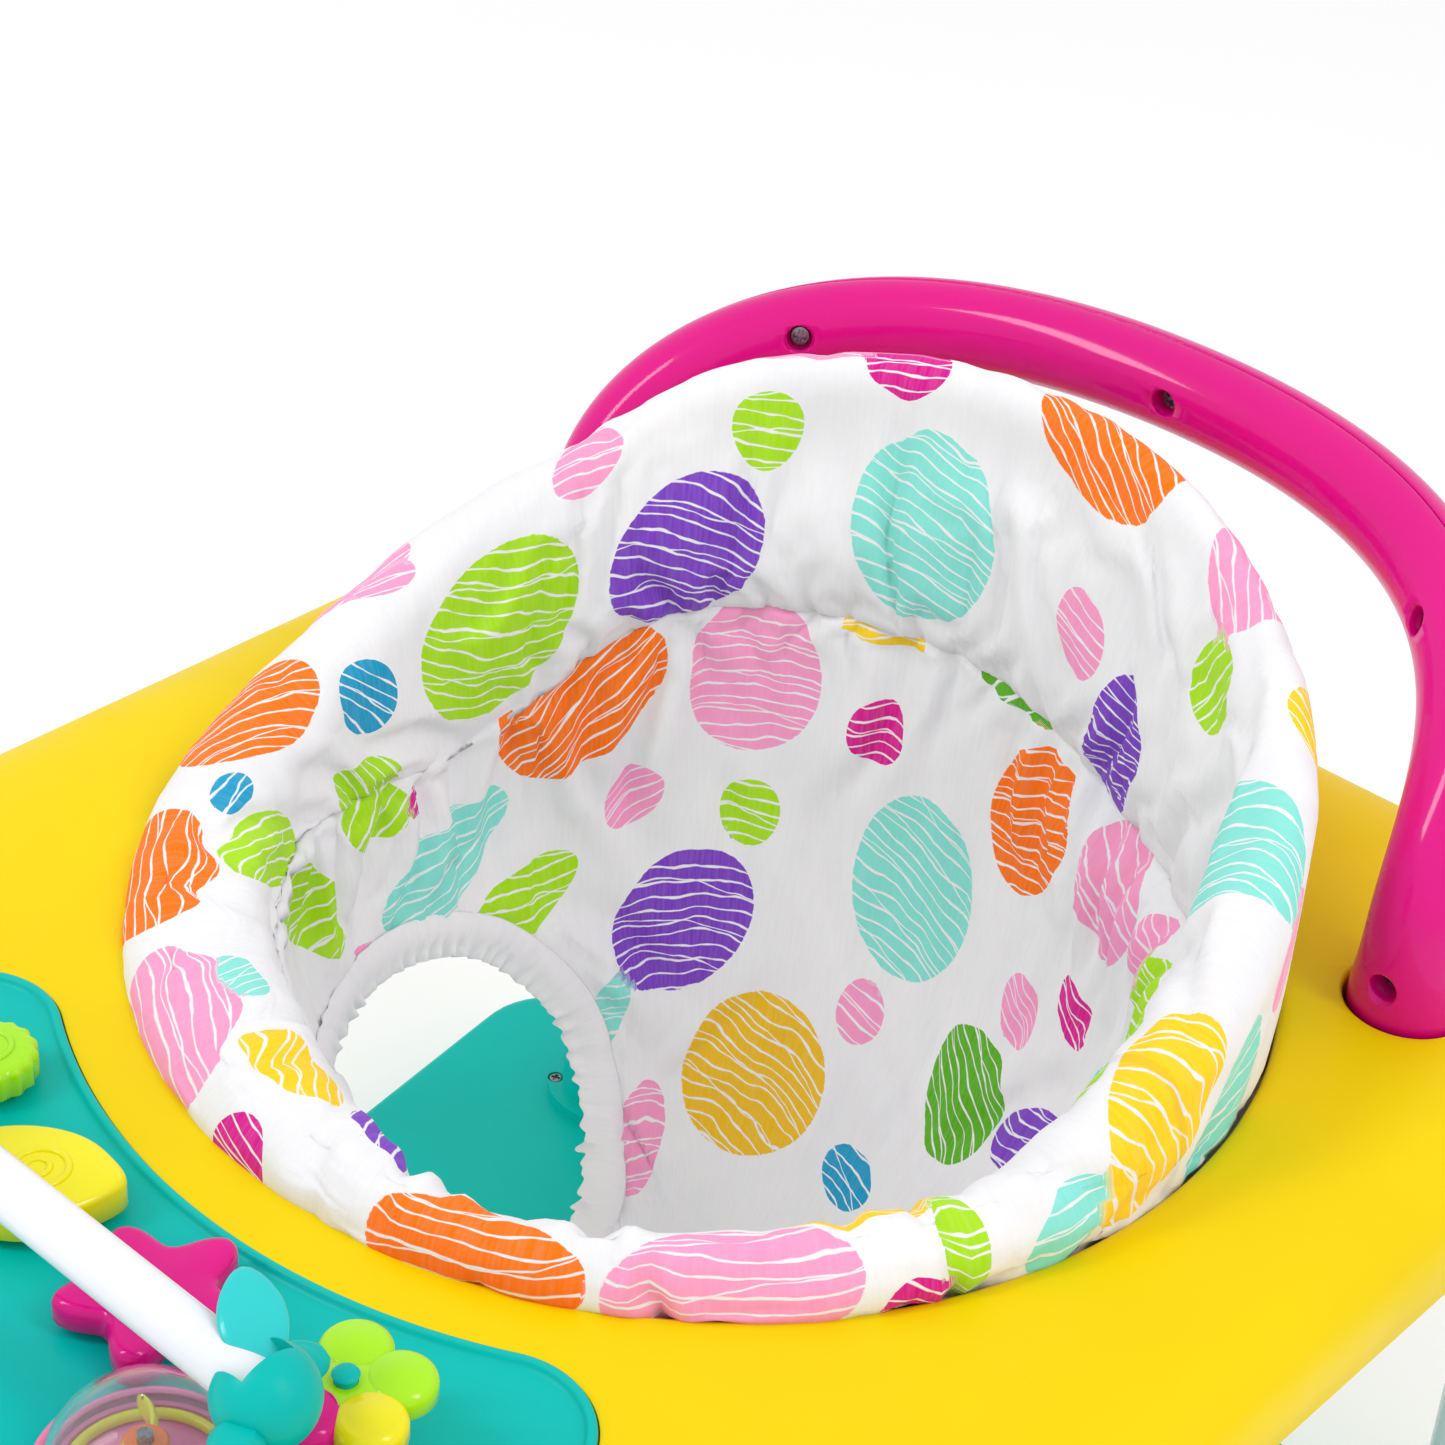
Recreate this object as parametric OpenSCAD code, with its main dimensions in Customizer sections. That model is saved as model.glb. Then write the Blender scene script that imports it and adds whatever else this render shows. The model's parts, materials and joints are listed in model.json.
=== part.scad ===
// Activity jumper: a padded swivel seat in a sprung, height-adjustable tray on a wide base.
// Lengths are in millimetres. +Z is up, the toy tray faces -Y and the carry handle is at +Y.
// The origin is on the floor, under the middle of the whole object.

/* [Stand] */
// Height of the tray's top face above the floor
tray_z = 340; // [320:5:380]
// Height of the base platform's top face
base_top = 40; // [34:1:46]
// Base half width at its back edge
base_back_w = 285; // [270:5:300]
// Base half width at its front edge
base_front_w = 226; // [215:5:240]

/* [Tray] */
// Half width of the tray
tray_w = 235; // [230:1:245]
// From the seat's axis to the tray's back edge
tray_back = 229; // [222:1:235]
// From the seat's axis to the tray's front edge
tray_front = 325.5; // [316:0.5:330]
// Radius of the round seat opening
opening_r = 175; // [170:1:180]
// Depth of the tray's rim
rim_depth = 38; // [34:1:44]

/* [Motion] */
// How far the tray sinks on its springs
bounce_travel = 45; // [30:1:45]
// How far the tray can be raised
height_travel = 50; // [30:5:50]

/* [Handle] */
// Radius of the carry handle's tube
handle_r = 15.5; // [14:0.5:17]
// Height of the handle's top above the tray
handle_rise = 103; // [90:1:115]

/* [Seat] */
// Height of the collar's top above the tray, at the back
collar_rise = 116; // [100:1:120]
// Height of the collar's roll above the tray, at the front
roll_rise = 15; // [10:1:20]
// Depth of the fabric bucket below the tray
bucket_depth = 185; // [150:5:200]

/* [Hidden] */
$fn = 64;
// The seat's axis stands this far behind the origin
seat_y = 41;
post_x_back = 207;
post_x_front = 186;
post_y_back = 184;
post_y_front = -225;
CORNERS = [
    ["front_left", -post_x_front, post_y_front, -1],
    ["front_right", post_x_front, post_y_front, -1],
    ["back_left", -post_x_back, post_y_back, 1],
    ["back_right", post_x_back, post_y_back, 1],
];
SIDES = [["left", -1], ["right", 1]];
foot_h = 10;
tube_r = 17;
tube_wall = 1.5;
tube_top = 195;
socket_floor = base_top + 4;
post_r = 14;
post_wall = 1.5;
post_bottom = 125;
post_top = tray_z - 8;
plunger_h = 14;
running_gap = 0.08;
sleeve_r = 20;
sleeve_bottom = 250;
sleeve_top = tray_z - rim_depth + 16;
lock_z = 268;
lock_travel = 3;
skin = 3;
lip_r = 166;
lip_top = -30;
ring_gap = 0.3;
handle_x = 173;
handle_y = 125;
toy_w = 137;
toy_front = 310;
toy_back_r = 198;
toy_corner = 28;
toy_depth = 26;
star_pos = [20, -231];
leaf_pos = [-38, -229];
dial_pos = [-86, -205];
flower_pos = [92, -229];
dome_pos = [63, -268];
side_rise = 38;
press_travel = 3;
bar_y = -257;
bar_z = 45;
bar_x = 96;
bar_r = 7.5;

// Shifts a piece drawn about the seat's axis into the object's frame.
module placed(z = 0) {
    translate([0, seat_y, z]) children();
}

// Shifts a piece drawn from the tray's top face into the object's frame.
module on_tray() {
    placed(tray_z) children();
}

// A rounded rectangle given by its half width, its back and front edges and its corner radius.
module plate_2d(half_w, back, front, r) {
    translate([-half_w, -front + r]) square([2 * half_w, back + front - 2 * r]);
    translate([-half_w + r, -front]) square([2 * (half_w - r), back + front]);
    for (sx = [-1, 1]) {
        translate([sx * (half_w - r), back - r]) circle(r, $fn = 32);
        translate([sx * (half_w - r), -front + r]) circle(r, $fn = 32);
    }
}

// The base's outline, wider at the back than at the front.
module base_2d(inset) {
    corner_r = 34;
    hull() {
        for (sx = [-1, 1]) {
            translate([sx * (base_back_w - inset - corner_r), 222 - inset - corner_r])
                circle(corner_r, $fn = 32);
            translate([sx * (base_front_w - inset - corner_r), -264 + inset + corner_r])
                circle(corner_r, $fn = 32);
        }
    }
}

FEET = concat(
    [for (sx = [-1, 1]) [sx * 232, 176]],
    [for (sx = [-1, 1]) [sx * 186, -228]],
    [[0, 190], [0, -232]]
);

module base_platform() {
    color("#00BDB6") placed() {
        difference() {
            hull() {
                translate([0, 0, foot_h - 4]) linear_extrude(22) base_2d(0);
                translate([0, 0, base_top - 1]) linear_extrude(1) base_2d(6);
            }
            hull() {
                translate([0, 0, foot_h - 5]) linear_extrude(20) base_2d(4);
                translate([0, 0, base_top - 5]) linear_extrude(1) base_2d(9);
            }
        }
        for (foot = FEET) {
            translate([foot[0], foot[1], foot_h]) cylinder(r = 22, h = base_top - 3.5 - foot_h);
        }
        for (rib_y = [-120, 0, 120]) {
            translate([-215, rib_y - 1.5, 20]) cube([430, 3, base_top - 24]);
        }
        for (c = CORNERS) {
            translate([c[1], c[2], 16]) cylinder(r = 18, h = base_top - 20);
        }
    }
}

module rubber_feet() {
    color("#3A3D42") placed() {
        for (foot = FEET) {
            translate([foot[0], foot[1], 2]) cylinder(r = 20, h = foot_h - 2);
            translate([foot[0], foot[1], 0]) cylinder(r1 = 18, r2 = 20, h = 2);
        }
    }
}

socket_screw_r = 25;

module post_socket(c) {
    color("#00BDB6") placed() translate([c[1], c[2], base_top]) {
        difference() {
            union() {
                cylinder(r = 30, h = 5);
                cylinder(r1 = 24, r2 = 21, h = 34);
            }
            translate([0, 0, 4]) cylinder(r = tube_r, h = 40);
            for (a = [45:90:315]) {
                rotate(a) translate([socket_screw_r + 1.4, 0, 3]) cylinder(r = 3.4, h = 3);
            }
        }
    }
}

module socket_screws() {
    color("silver") placed() {
        for (c = CORNERS) {
            for (a = [45:90:315]) {
                translate([c[1], c[2], base_top]) rotate(a)
                    translate([socket_screw_r + 1.4, 0, 3]) cylinder(r = 3, h = 2);
            }
        }
    }
}

module lower_tube(c) {
    color("#F4F5F7") placed() translate([c[1], c[2], socket_floor]) {
        difference() {
            cylinder(r = tube_r, h = tube_top - socket_floor);
            translate([0, 0, -1]) cylinder(r = tube_r - tube_wall, h = tube_top);
        }
    }
}

// Guide rings that close the lower tubes around the sliding posts
module tube_collars() {
    color("#00BDB6") placed() {
        for (c = CORNERS) {
            translate([c[1], c[2], 0]) difference() {
                translate([0, 0, tube_top - 12]) cylinder(r = 21, h = 17);
                translate([0, 0, tube_top - 13]) cylinder(r = tube_r, h = 13);
                translate([0, 0, tube_top - 1]) cylinder(r = post_r + running_gap, h = 8);
            }
        }
    }
}

// Points of a coil's centre line, and the ring of corners around each point
function coil_point(t, r, z0, pitch) = [r * cos(360 * t), r * sin(360 * t), z0 + pitch * t];
function coil_ring(t, r, z0, pitch, wire, n) = [
    for (k = [0:n - 1])
        let (a = 360 * k / n, q = r + wire * cos(a))
            [q * cos(360 * t), q * sin(360 * t), z0 + pitch * t + wire * sin(a)]
];

// Side and end faces of a tube made of rings of n points each
function tube_faces(rings, n) = concat(
    [for (i = [0:rings - 2]) for (k = [0:n - 1])
        [i * n + k, i * n + (k + 1) % n, (i + 1) * n + (k + 1) % n, (i + 1) * n + k]],
    [[for (k = [n - 1:-1:0]) k]],
    [[for (k = [0:n - 1]) (rings - 1) * n + k]]
);

module coil(r, z0, z1, turns, wire) {
    steps = turns * 14;
    pitch = (z1 - z0 - 2 * wire) / turns;
    rings = [for (i = [0:steps]) coil_ring(i / 14, r, z0 + wire, pitch, wire, 6)];
    polyhedron([for (ring = rings) each ring], tube_faces(steps + 1, 6), convexity = 6);
}

spring_bottom = socket_floor + 0.2;
spring_top = post_bottom - plunger_h / 2 - 0.4;

module bounce_spring(c) {
    color("silver") placed() translate([c[1], c[2], 0])
        coil(11.5, spring_bottom, spring_top, 8, 1.3);
}

module inner_post(c) {
    color("#C9CCD2") placed() translate([c[1], c[2], 0]) difference() {
        translate([0, 0, post_bottom]) cylinder(r = post_r, h = post_top - post_bottom);
        translate([0, 0, post_bottom - 1]) cylinder(r = post_r - post_wall, h = 240);
        // Slot that the lock pin slides in, with its three locking holes
        rotate([-90 * c[3], 0, 0]) translate([0, -c[3] * lock_z, 0]) {
            translate([-4.4, -c[3] * (height_travel / 2) - height_travel / 2 - 4, 8])
                cube([8.8, height_travel + 8, 10]);
            for (step = [0:2]) {
                translate([0, -c[3] * step * height_travel / 2, 8]) cylinder(r = 5.8, h = 10);
            }
        }
    }
}

// Plastic shoes on the posts' lower ends, which press on the springs
module post_plungers() {
    color("#3A3D42") placed() {
        for (c = CORNERS) {
            translate([c[1], c[2], 0]) {
                translate([0, 0, post_bottom - plunger_h / 2])
                    cylinder(r = tube_r - tube_wall - running_gap, h = plunger_h / 2);
                translate([0, 0, post_bottom]) cylinder(r = post_r - post_wall, h = 10);
            }
        }
    }
}

// The toy tray's outline: an arc round the seat, and round corners
module toy_2d(inset) {
    offset(r = toy_corner - inset) offset(r = -toy_corner) difference() {
        translate([-toy_w, -toy_front]) square([2 * toy_w, toy_front - 158]);
        circle(toy_back_r, $fn = 128);
    }
}

module tray_outer(inset, top) {
    edge = 13;
    hull() {
        translate([0, 0, -rim_depth]) linear_extrude(rim_depth - edge - top)
            plate_2d(tray_w - inset, tray_back - inset, tray_front - inset, 62 - inset);
        translate([0, 0, -6 - top]) linear_extrude(1)
            plate_2d(tray_w - inset - 4, tray_back - inset - 4, tray_front - inset - 4, 58 - inset);
        translate([0, 0, -1 - top]) linear_extrude(1)
            plate_2d(tray_w - inset - 17, tray_back - inset - 17, tray_front - inset - 17, 46 - inset);
    }
}

module tray_top() {
    color("#F2D600") on_tray() {
        difference() {
            tray_outer(0, 0);
            difference() {
                translate([0, 0, -0.5]) tray_outer(skin, skin - 0.5);
                translate([0, 0, -60]) cylinder(r = opening_r + skin, h = 70);
                for (s = SIDES) {
                    translate([s[1] * handle_x, handle_y, -34]) cylinder(r = 24, h = 40);
                }
            }
            translate([0, 0, -60]) cylinder(r = lip_r, h = 70);
            translate([0, 0, lip_top]) cylinder(r = opening_r, h = 40);
            translate([0, 0, -60]) difference() {
                cylinder(r = 260, h = 26 - 0.01);
                translate([0, 0, -1]) cylinder(r = 160, h = 30);
                translate([0, 0, -1]) linear_extrude(40) difference() {
                    square(700, center = true);
                    circle(opening_r + skin + 0.01);
                }
            }
            for (s = SIDES) {
                translate([s[1] * handle_x, handle_y, -28]) cylinder(r = 19.4, h = 40);
            }
            translate([0, 0, -4]) linear_extrude(10) toy_2d(-0.6);
            translate([0, 0, -20]) linear_extrude(30) toy_2d(8);
        }
    }
}

// Lower cover of the tray with the four sleeves that slide on the posts
module tray_underside() {
    color("#F2D600") on_tray() {
        difference() {
            union() {
                difference() {
                    translate([0, 0, -rim_depth]) linear_extrude(3)
                        plate_2d(tray_w - skin - 0.4, tray_back - skin - 0.4, tray_front - skin - 0.4, 60);
                    translate([0, 0, -60]) cylinder(r = opening_r + skin + 0.6, h = 60);
                    translate([0, 0, -60]) linear_extrude(60) toy_2d(2);
                }
                for (c = CORNERS) {
                    translate([c[1], c[2], sleeve_bottom - tray_z])
                        cylinder(r = sleeve_r, h = sleeve_top - sleeve_bottom);
                    translate([c[1], c[2], lock_z - tray_z]) rotate([-90 * c[3], 0, 0])
                        cylinder(r = 11.5, h = 30);
                }
            }
            for (c = CORNERS) {
                translate([c[1], c[2], sleeve_bottom - tray_z - 1])
                    cylinder(r = post_r + running_gap, h = 100);
                translate([c[1], c[2], lock_z - tray_z]) rotate([-90 * c[3], 0, 0]) {
                    cylinder(r = 4.4, h = 40);
                    translate([0, 0, 20.5]) cylinder(r = 8.4, h = 40);
                }
            }
        }
    }
}

tray_screw_spots = concat(
    [for (sx = [-1, 1]) [sx * 215, 0]],
    [for (sx = [-1, 1]) [sx * 150, 190]],
    [for (sx = [-1, 1]) [sx * 155, -282]]
);

module tray_screws() {
    color("silver") on_tray() {
        for (p = tray_screw_spots) {
            translate([p[0], p[1], -rim_depth - 2]) cylinder(r = 4, h = 2);
        }
    }
}

module lock_button(c) {
    color("#E4008C") on_tray() translate([c[1], c[2], lock_z - tray_z]) rotate([-90 * c[3], 0, 0]) {
        translate([0, 0, 12.2]) cylinder(r = 3.9, h = 13);
        translate([0, 0, 25]) cylinder(r = 8, h = 7);
        translate([0, 0, 32]) cylinder(r1 = 8, r2 = 6.8, h = 1.6);
    }
}

// Flat wave springs under the lock buttons' heads
module lock_springs() {
    color("silver") on_tray() {
        for (c = CORNERS) {
            translate([c[1], c[2], lock_z - tray_z]) rotate([-90 * c[3], 0, 0]) difference() {
                translate([0, 0, 20.6]) cylinder(r = 7.6, h = 1.2);
                translate([0, 0, 20]) cylinder(r = 5, h = 3);
            }
        }
    }
}

// The handle's centre line: one side is a Bezier curve from the foot to the middle of the top
HANDLE_CURVE = [
    [handle_x, handle_y + 4, -8],
    [handle_x + 2, 90, 0.7 * handle_rise],
    [handle_x + 6, 228, handle_rise],
    [0, 228, handle_rise],
];
function bezier(p, t) =
    pow(1 - t, 3) * p[0] + 3 * pow(1 - t, 2) * t * p[1] + 3 * (1 - t) * t * t * p[2] + pow(t, 3) * p[3];
function bezier_way(p, t) =
    pow(1 - t, 2) * (p[1] - p[0]) + 2 * (1 - t) * t * (p[2] - p[1]) + t * t * (p[3] - p[2]);
function unit(v) = v / norm(v);
handle_steps = 16;
split_gap = 0.08;
function mirrored(v) = [-v[0], v[1], v[2]];
function handle_point(u) = u <= 1 ? bezier(HANDLE_CURVE, u) : mirrored(bezier(HANDLE_CURVE, 2 - u));
// Unit vector from the centre line to the handle's front face
function handle_in(u) = u > 1 ? mirrored(handle_in(2 - u)) :
    let (
        way = unit(bezier_way(HANDLE_CURVE, u)),
        front = [0, -1, 0]
    ) unit(front - way * (front * way));
function handle_ring(u, r, a0, n) = u > 1 ? [for (p = handle_ring(2 - u, r, a0, n)) mirrored(p)] :
    let (
        p = handle_point(u),
        b = handle_in(u),
        s = cross(b, unit(bezier_way(HANDLE_CURVE, u)))
    ) [
        for (k = [0:n - 1])
            let (a = a0 + 180 * k / (n - 1))
                p - sign(a0) * split_gap * b + r * (cos(a) * b + sin(a) * s)
    ];

// Half of the handle's tube: a0 = -90 is the side towards the seat, a0 = 90 the far side
module handle_half(a0) {
    foot_cut = [500, 100, 60];
    n = 12;
    wall = 2.6;
    steps = 2 * handle_steps;
    rings = [
        for (i = [0:steps])
            let (u = 2 * i / steps)
                concat(handle_ring(u, handle_r, a0, n), [for (k = [n - 1:-1:0]) handle_ring(u, handle_r - wall, a0, n)[k]])
    ];
    difference() {
        polyhedron([for (ring = rings) each ring], tube_faces(steps + 1, 2 * n), convexity = 8);
        translate([-foot_cut[0] / 2, handle_y - foot_cut[1] / 2, -foot_cut[2]]) cube(foot_cut);
    }
}

HANDLE_SCREWS = [0.1, 0.62, 1, 1.38, 1.9];

module at_screw(u) {
    b = handle_in(u);
    tilt = acos(b[2]);
    turn = atan2(b[1], b[0]);
    translate(handle_point(u)) rotate([0, tilt, turn]) children();
}

module handle_front_shell() {
    color("#E4008C") on_tray() {
        difference() {
            union() {
                handle_half(-90);
                for (u = HANDLE_SCREWS) {
                    at_screw(u) translate([0, 0, 1.2]) cylinder(r = 6, h = handle_r - 3);
                }
            }
            for (u = HANDLE_SCREWS) {
                at_screw(u) {
                    translate([0, 0, -20]) cylinder(r = 2, h = 60);
                    translate([0, 0, 6]) cylinder(r = 4.4, h = 40);
                }
            }
        }
    }
}

module handle_back_shell() {
    color("#E4008C") on_tray() {
        handle_half(90);
        for (s = SIDES) {
            translate([s[1] * handle_x, handle_y, -27.5]) cylinder(r = 19, h = 27.5);
        }
    }
}

module handle_screws() {
    color("silver") on_tray() {
        for (u = HANDLE_SCREWS) {
            at_screw(u) {
                translate([0, 0, -8]) cylinder(r = 1.9, h = 14.2);
                translate([0, 0, 6.1]) cylinder(r = 3.6, h = 2.2);
            }
        }
    }
}

// Upper swivel ring: it rests on the tray's lip and carries the fabric
module seat_ring() {
    color("#F4F5F7") on_tray() rotate_extrude($fn = 128) {
        polygon([
            [161, lip_top - 4.3], [lip_r - 1, lip_top - 4.3], [lip_r - 1, lip_top + ring_gap],
            [opening_r - 1.5, lip_top + ring_gap], [opening_r - 1.5, lip_top + 5],
            [lip_r, lip_top + 7], [lip_r, -8], [161, -8],
        ]);
    }
}

module ring_retainer() {
    color("#F4F5F7") on_tray() rotate_extrude($fn = 128)
        translate([158, lip_top - 8]) square([14, 3.7]);
}

module ring_screws() {
    color("silver") on_tray() {
        for (k = [0:7]) {
            rotate(22.5 + 45 * k) translate([163, 0, lip_top - 10]) cylinder(r = 2.6, h = 2);
        }
    }
}

// Collar height above the tray, by angle round the seat (90 is the back)
function collar_top(a) = max(roll_rise, side_rise + (collar_rise - side_rise) * sin(a));
function collar_ring(a) =
    let (
        top = collar_top(a),
        tall = (top - roll_rise) / (collar_rise - roll_rise),
        out_r = 173 + 3 * tall,
        in_r = 143 + 9 * tall
    ) [
        for (p = [
            [172.6, -6], [173.2, 2], [out_r, max(6, top - 14)], [out_r - 4, top - 4],
            [(out_r + in_r) / 2 + 1, top], [in_r + 5 - 2 * tall, top - 6],
            [in_r, min(top - 14, 12)], [in_r - 1, -4], [148, -7.8],
        ]) [p[0] * cos(a), p[0] * sin(a), p[1]]
    ];

module seat_collar() {
    color("white") on_tray() {
        n = 60;
        rings = [for (i = [0:n - 1]) collar_ring(360 * i / n)];
        m = len(rings[0]);
        faces = [
            for (i = [0:n - 1]) for (k = [0:m - 1])
                [i * m + k, i * m + (k + 1) % m, ((i + 1) % n) * m + (k + 1) % m, ((i + 1) % n) * m + k]
        ];
        polyhedron([for (ring = rings) each ring], faces, convexity = 6);
    }
}

// Stiff board sewn inside the collar, so that it stands up
module collar_board() {
    color("#D9DCE0") on_tray() rotate(40) rotate_extrude(angle = 100, $fn = 128)
        polygon([[163, 4], [165, 4], [166, 66], [164, 66]]);
}

bucket_wall = 5;

module bucket_solid(grow) {
    rotate_extrude($fn = 96) polygon([
        [0, -bucket_depth - grow], [70, -bucket_depth - grow], [108 + grow, -bucket_depth + 22],
        [130 + grow, -110], [146 + grow, -40], [150 + grow, -8], [0, -8],
    ]);
}

// Axis of each leg opening, from the middle of the seat outwards, down and to the front
module leg_cut(side, r, from, to) {
    translate([side * 98, -14, -136]) rotate([0, 0, side > 0 ? -9 : 189])
        rotate([0, 127, 0]) translate([0, 0, from]) cylinder(r = r, h = to - from);
}

leg_r = 66;

module seat_bucket() {
    color("white") on_tray() difference() {
        bucket_solid(0);
        translate([0, 0, 0.02]) intersection() {
            rotate_extrude($fn = 96) polygon([
                [0, -bucket_depth + bucket_wall], [68, -bucket_depth + bucket_wall],
                [103, -bucket_depth + 25], [125, -110], [141, -40], [145, 0], [0, 0],
            ]);
        }
        for (s = SIDES) leg_cut(s[1], leg_r, -40, 120);
    }
}

module leg_cuff(side) {
    color("white") on_tray() intersection() {
        difference() {
            bucket_solid(2);
            rotate_extrude($fn = 96) polygon([
                [0, -bucket_depth + bucket_wall + 1], [66, -bucket_depth + bucket_wall + 1],
                [101, -bucket_depth + 26], [123, -110], [139, -40], [143, 0], [0, 0],
            ]);
        }
        difference() {
            leg_cut(side, leg_r - 0.2, -40, 120);
            leg_cut(side, leg_r - 6, -41, 121);
        }
    }
}

// Snap hooks that hold the fabric to the ring
module seat_hooks() {
    color("#D9DCE0") on_tray() {
        for (k = [0:7]) {
            rotate(45 * k) translate([151.5, -7, -30]) cube([9, 14, 18]);
        }
    }
}

module toy_tray() {
    color("#00BDB6") on_tray() {
        difference() {
            union() {
                translate([0, 0, -3.7]) linear_extrude(5.7) toy_2d(0);
                translate([0, 0, -toy_depth]) linear_extrude(toy_depth) toy_2d(9);
            }
            translate([0, 0, -toy_depth - 1]) linear_extrude(toy_depth - 2.4) toy_2d(12);
            translate([0, 0, -0.6]) linear_extrude(4) toy_2d(4.5);
            for (b = [star_pos, leaf_pos, dial_pos, flower_pos, dome_pos]) {
                translate([b[0], b[1], -10]) cylinder(r = 6, h = 20);
            }
        }
    }
}

box_z = -30;
box_pos = [-74, -292, box_z];
box_size = [118, 66, 18];

module sound_box() {
    color("#D9DCE0") on_tray() difference() {
        translate(box_pos) cube(box_size);
        translate([box_pos[0] + 3, box_pos[1] + 3, box_z - 1]) cube([68, 60, 17]);
        translate([box_pos[0] + 76, box_pos[1] + 3, box_z + 2]) cube([38, 60, 14]);
    }
}

module batteries() {
    color("#8A8D93") on_tray() {
        for (k = [0:2]) {
            translate([box_pos[0] + 12, box_pos[1] + 13.5 + 19 * k, box_z + 8.5])
                rotate([0, 90, 0]) cylinder(r = 7.1, h = 50.5);
        }
    }
}

module battery_door() {
    color("#00BDB6") on_tray() translate([box_pos[0] + 3.3, box_pos[1] + 3.3, box_z - 0.6])
        cube([67.4, 59.4, 1.4]);
}

module battery_door_screw() {
    color("silver") on_tray() translate([box_pos[0] + 64, box_pos[1] + 33, box_z - 2.2])
        cylinder(r = 3, h = 1.6);
}

// A flat shape with round lobes about its middle
module lobed_2d(lobes, mid_r, lobe_r, reach) {
    circle(mid_r, $fn = 48);
    for (k = [0:lobes - 1]) {
        rotate(90 + 360 * k / lobes) translate([reach, 0]) circle(lobe_r, $fn = 32);
    }
}

module button_stem(h) {
    translate([0, 0, -h]) cylinder(r = 5.6, h = h + 0.1);
}

module star_button() {
    color("#E4008C") on_tray() translate([star_pos[0], star_pos[1], 3]) {
        linear_extrude(9) lobed_2d(5, 17, 8.5, 19.5);
        button_stem(10);
    }
}

module leaf_button() {
    color("#F0E400") on_tray() translate([leaf_pos[0], leaf_pos[1], 3]) {
        intersection() {
            translate([12, 0, 0]) cylinder(r = 34, h = 11);
            translate([-12, 0, 0]) cylinder(r = 34, h = 11);
            translate([-30, -21, 0]) cube([60, 42, 20]);
        }
        button_stem(10);
    }
}

module dial_button() {
    color("#A6E000") on_tray() translate([dial_pos[0], dial_pos[1], 3]) {
        cylinder(r = 14, h = 10);
        button_stem(10);
    }
}

// Silicone pads that the buttons press on
module button_pads() {
    color("#D9DCE0") on_tray() {
        for (b = [star_pos, leaf_pos, dial_pos]) {
            translate([b[0], b[1], -0.6]) difference() {
                cylinder(r = 9, h = 0.5);
                translate([0, 0, -1]) cylinder(r = 6, h = 3);
            }
        }
    }
}

module toy_bar() {
    color("#EDF0F6") on_tray() translate([-bar_x + 6, bar_y, bar_z]) rotate([0, 90, 0])
        cylinder(r = bar_r, h = 2 * bar_x - 12);
}

// Clip with a ball at each end of the bar, on a stem that stands in the toy tray
module clip_shape() {
    stem_pos = [bar_x + 6, bar_y - 14];
    difference() {
        union() {
            translate([bar_x, bar_y, bar_z]) sphere(r = 13.5);
            translate([stem_pos[0], stem_pos[1], -0.6]) cylinder(r1 = 9, r2 = 7.5, h = bar_z);
            translate([stem_pos[0], stem_pos[1], bar_z - 0.7]) cylinder(r1 = 7.45, r2 = 4, h = 3);
            translate([bar_x - 17, bar_y, bar_z]) rotate([0, 90, 0]) cylinder(r = 10.5, h = 12);
        }
        translate([-20, bar_y, bar_z]) rotate([0, 90, 0]) cylinder(r = bar_r, h = bar_x + 14);
    }
}

module bar_clip(side) {
    color("#12C9C6") on_tray() {
        if (side < 0) mirror([1, 0, 0]) clip_shape();
        if (side > 0) clip_shape();
    }
}

flower_h = 11;
flower_z = 18;

module flower_spinner() {
    color("#A6E000") on_tray() translate([flower_pos[0], flower_pos[1], flower_z]) difference() {
        linear_extrude(flower_h) lobed_2d(5, 9, 9.6, 13.2);
        translate([0, 0, -1]) cylinder(r = 3 + running_gap, h = 30);
    }
}

module flower_stem() {
    color("#12C9C6") on_tray() translate([flower_pos[0], flower_pos[1], 0]) {
        translate([0, 0, -0.6]) cylinder(r = 7, h = flower_z - 0.3 + 0.6);
        cylinder(r = 3, h = flower_z + flower_h + 1);
        translate([0, 0, flower_z + flower_h + 0.3]) cylinder(r1 = 5.5, r2 = 3.5, h = 2.4);
    }
}

dome_r = 26;

module dome_cover() {
    color([0.85, 0.95, 1, 0.4]) on_tray() translate([dome_pos[0], dome_pos[1], 3]) difference() {
        intersection() {
            sphere(r = dome_r);
            translate([-40, -40, 0]) cube([80, 80, 40]);
        }
        translate([0, 0, -0.01]) intersection() {
            sphere(r = dome_r - 1.6);
            translate([-40, -40, 0]) cube([80, 80, 40]);
        }
    }
}

module dome_ring() {
    color("#F58BB5") on_tray() translate([dome_pos[0], dome_pos[1], -0.6]) difference() {
        cylinder(r = dome_r + 3.5, h = 6);
        translate([0, 0, 3.6]) cylinder(r = dome_r + 0.05, h = 6);
        translate([0, 0, 1.4]) cylinder(r = dome_r - 3, h = 10);
        translate([0, 0, -1]) cylinder(r = 5, h = 10);
    }
}

module dome_whirl() {
    color("#FF7A0A") on_tray() translate([dome_pos[0], dome_pos[1], 5]) difference() {
        union() {
            cylinder(r = 6, h = 9);
            for (k = [0:2]) {
                rotate(120 * k) translate([0, -1.5, 0]) cube([19, 3, 8]);
            }
        }
        translate([0, 0, -1]) cylinder(r = 2 + running_gap, h = 20);
    }
}

module dome_pin() {
    color("silver") on_tray() translate([dome_pos[0], dome_pos[1], -0.6]) {
        cylinder(r = 4.9, h = 5.3);
        cylinder(r = 2, h = 17);
    }
}

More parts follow.
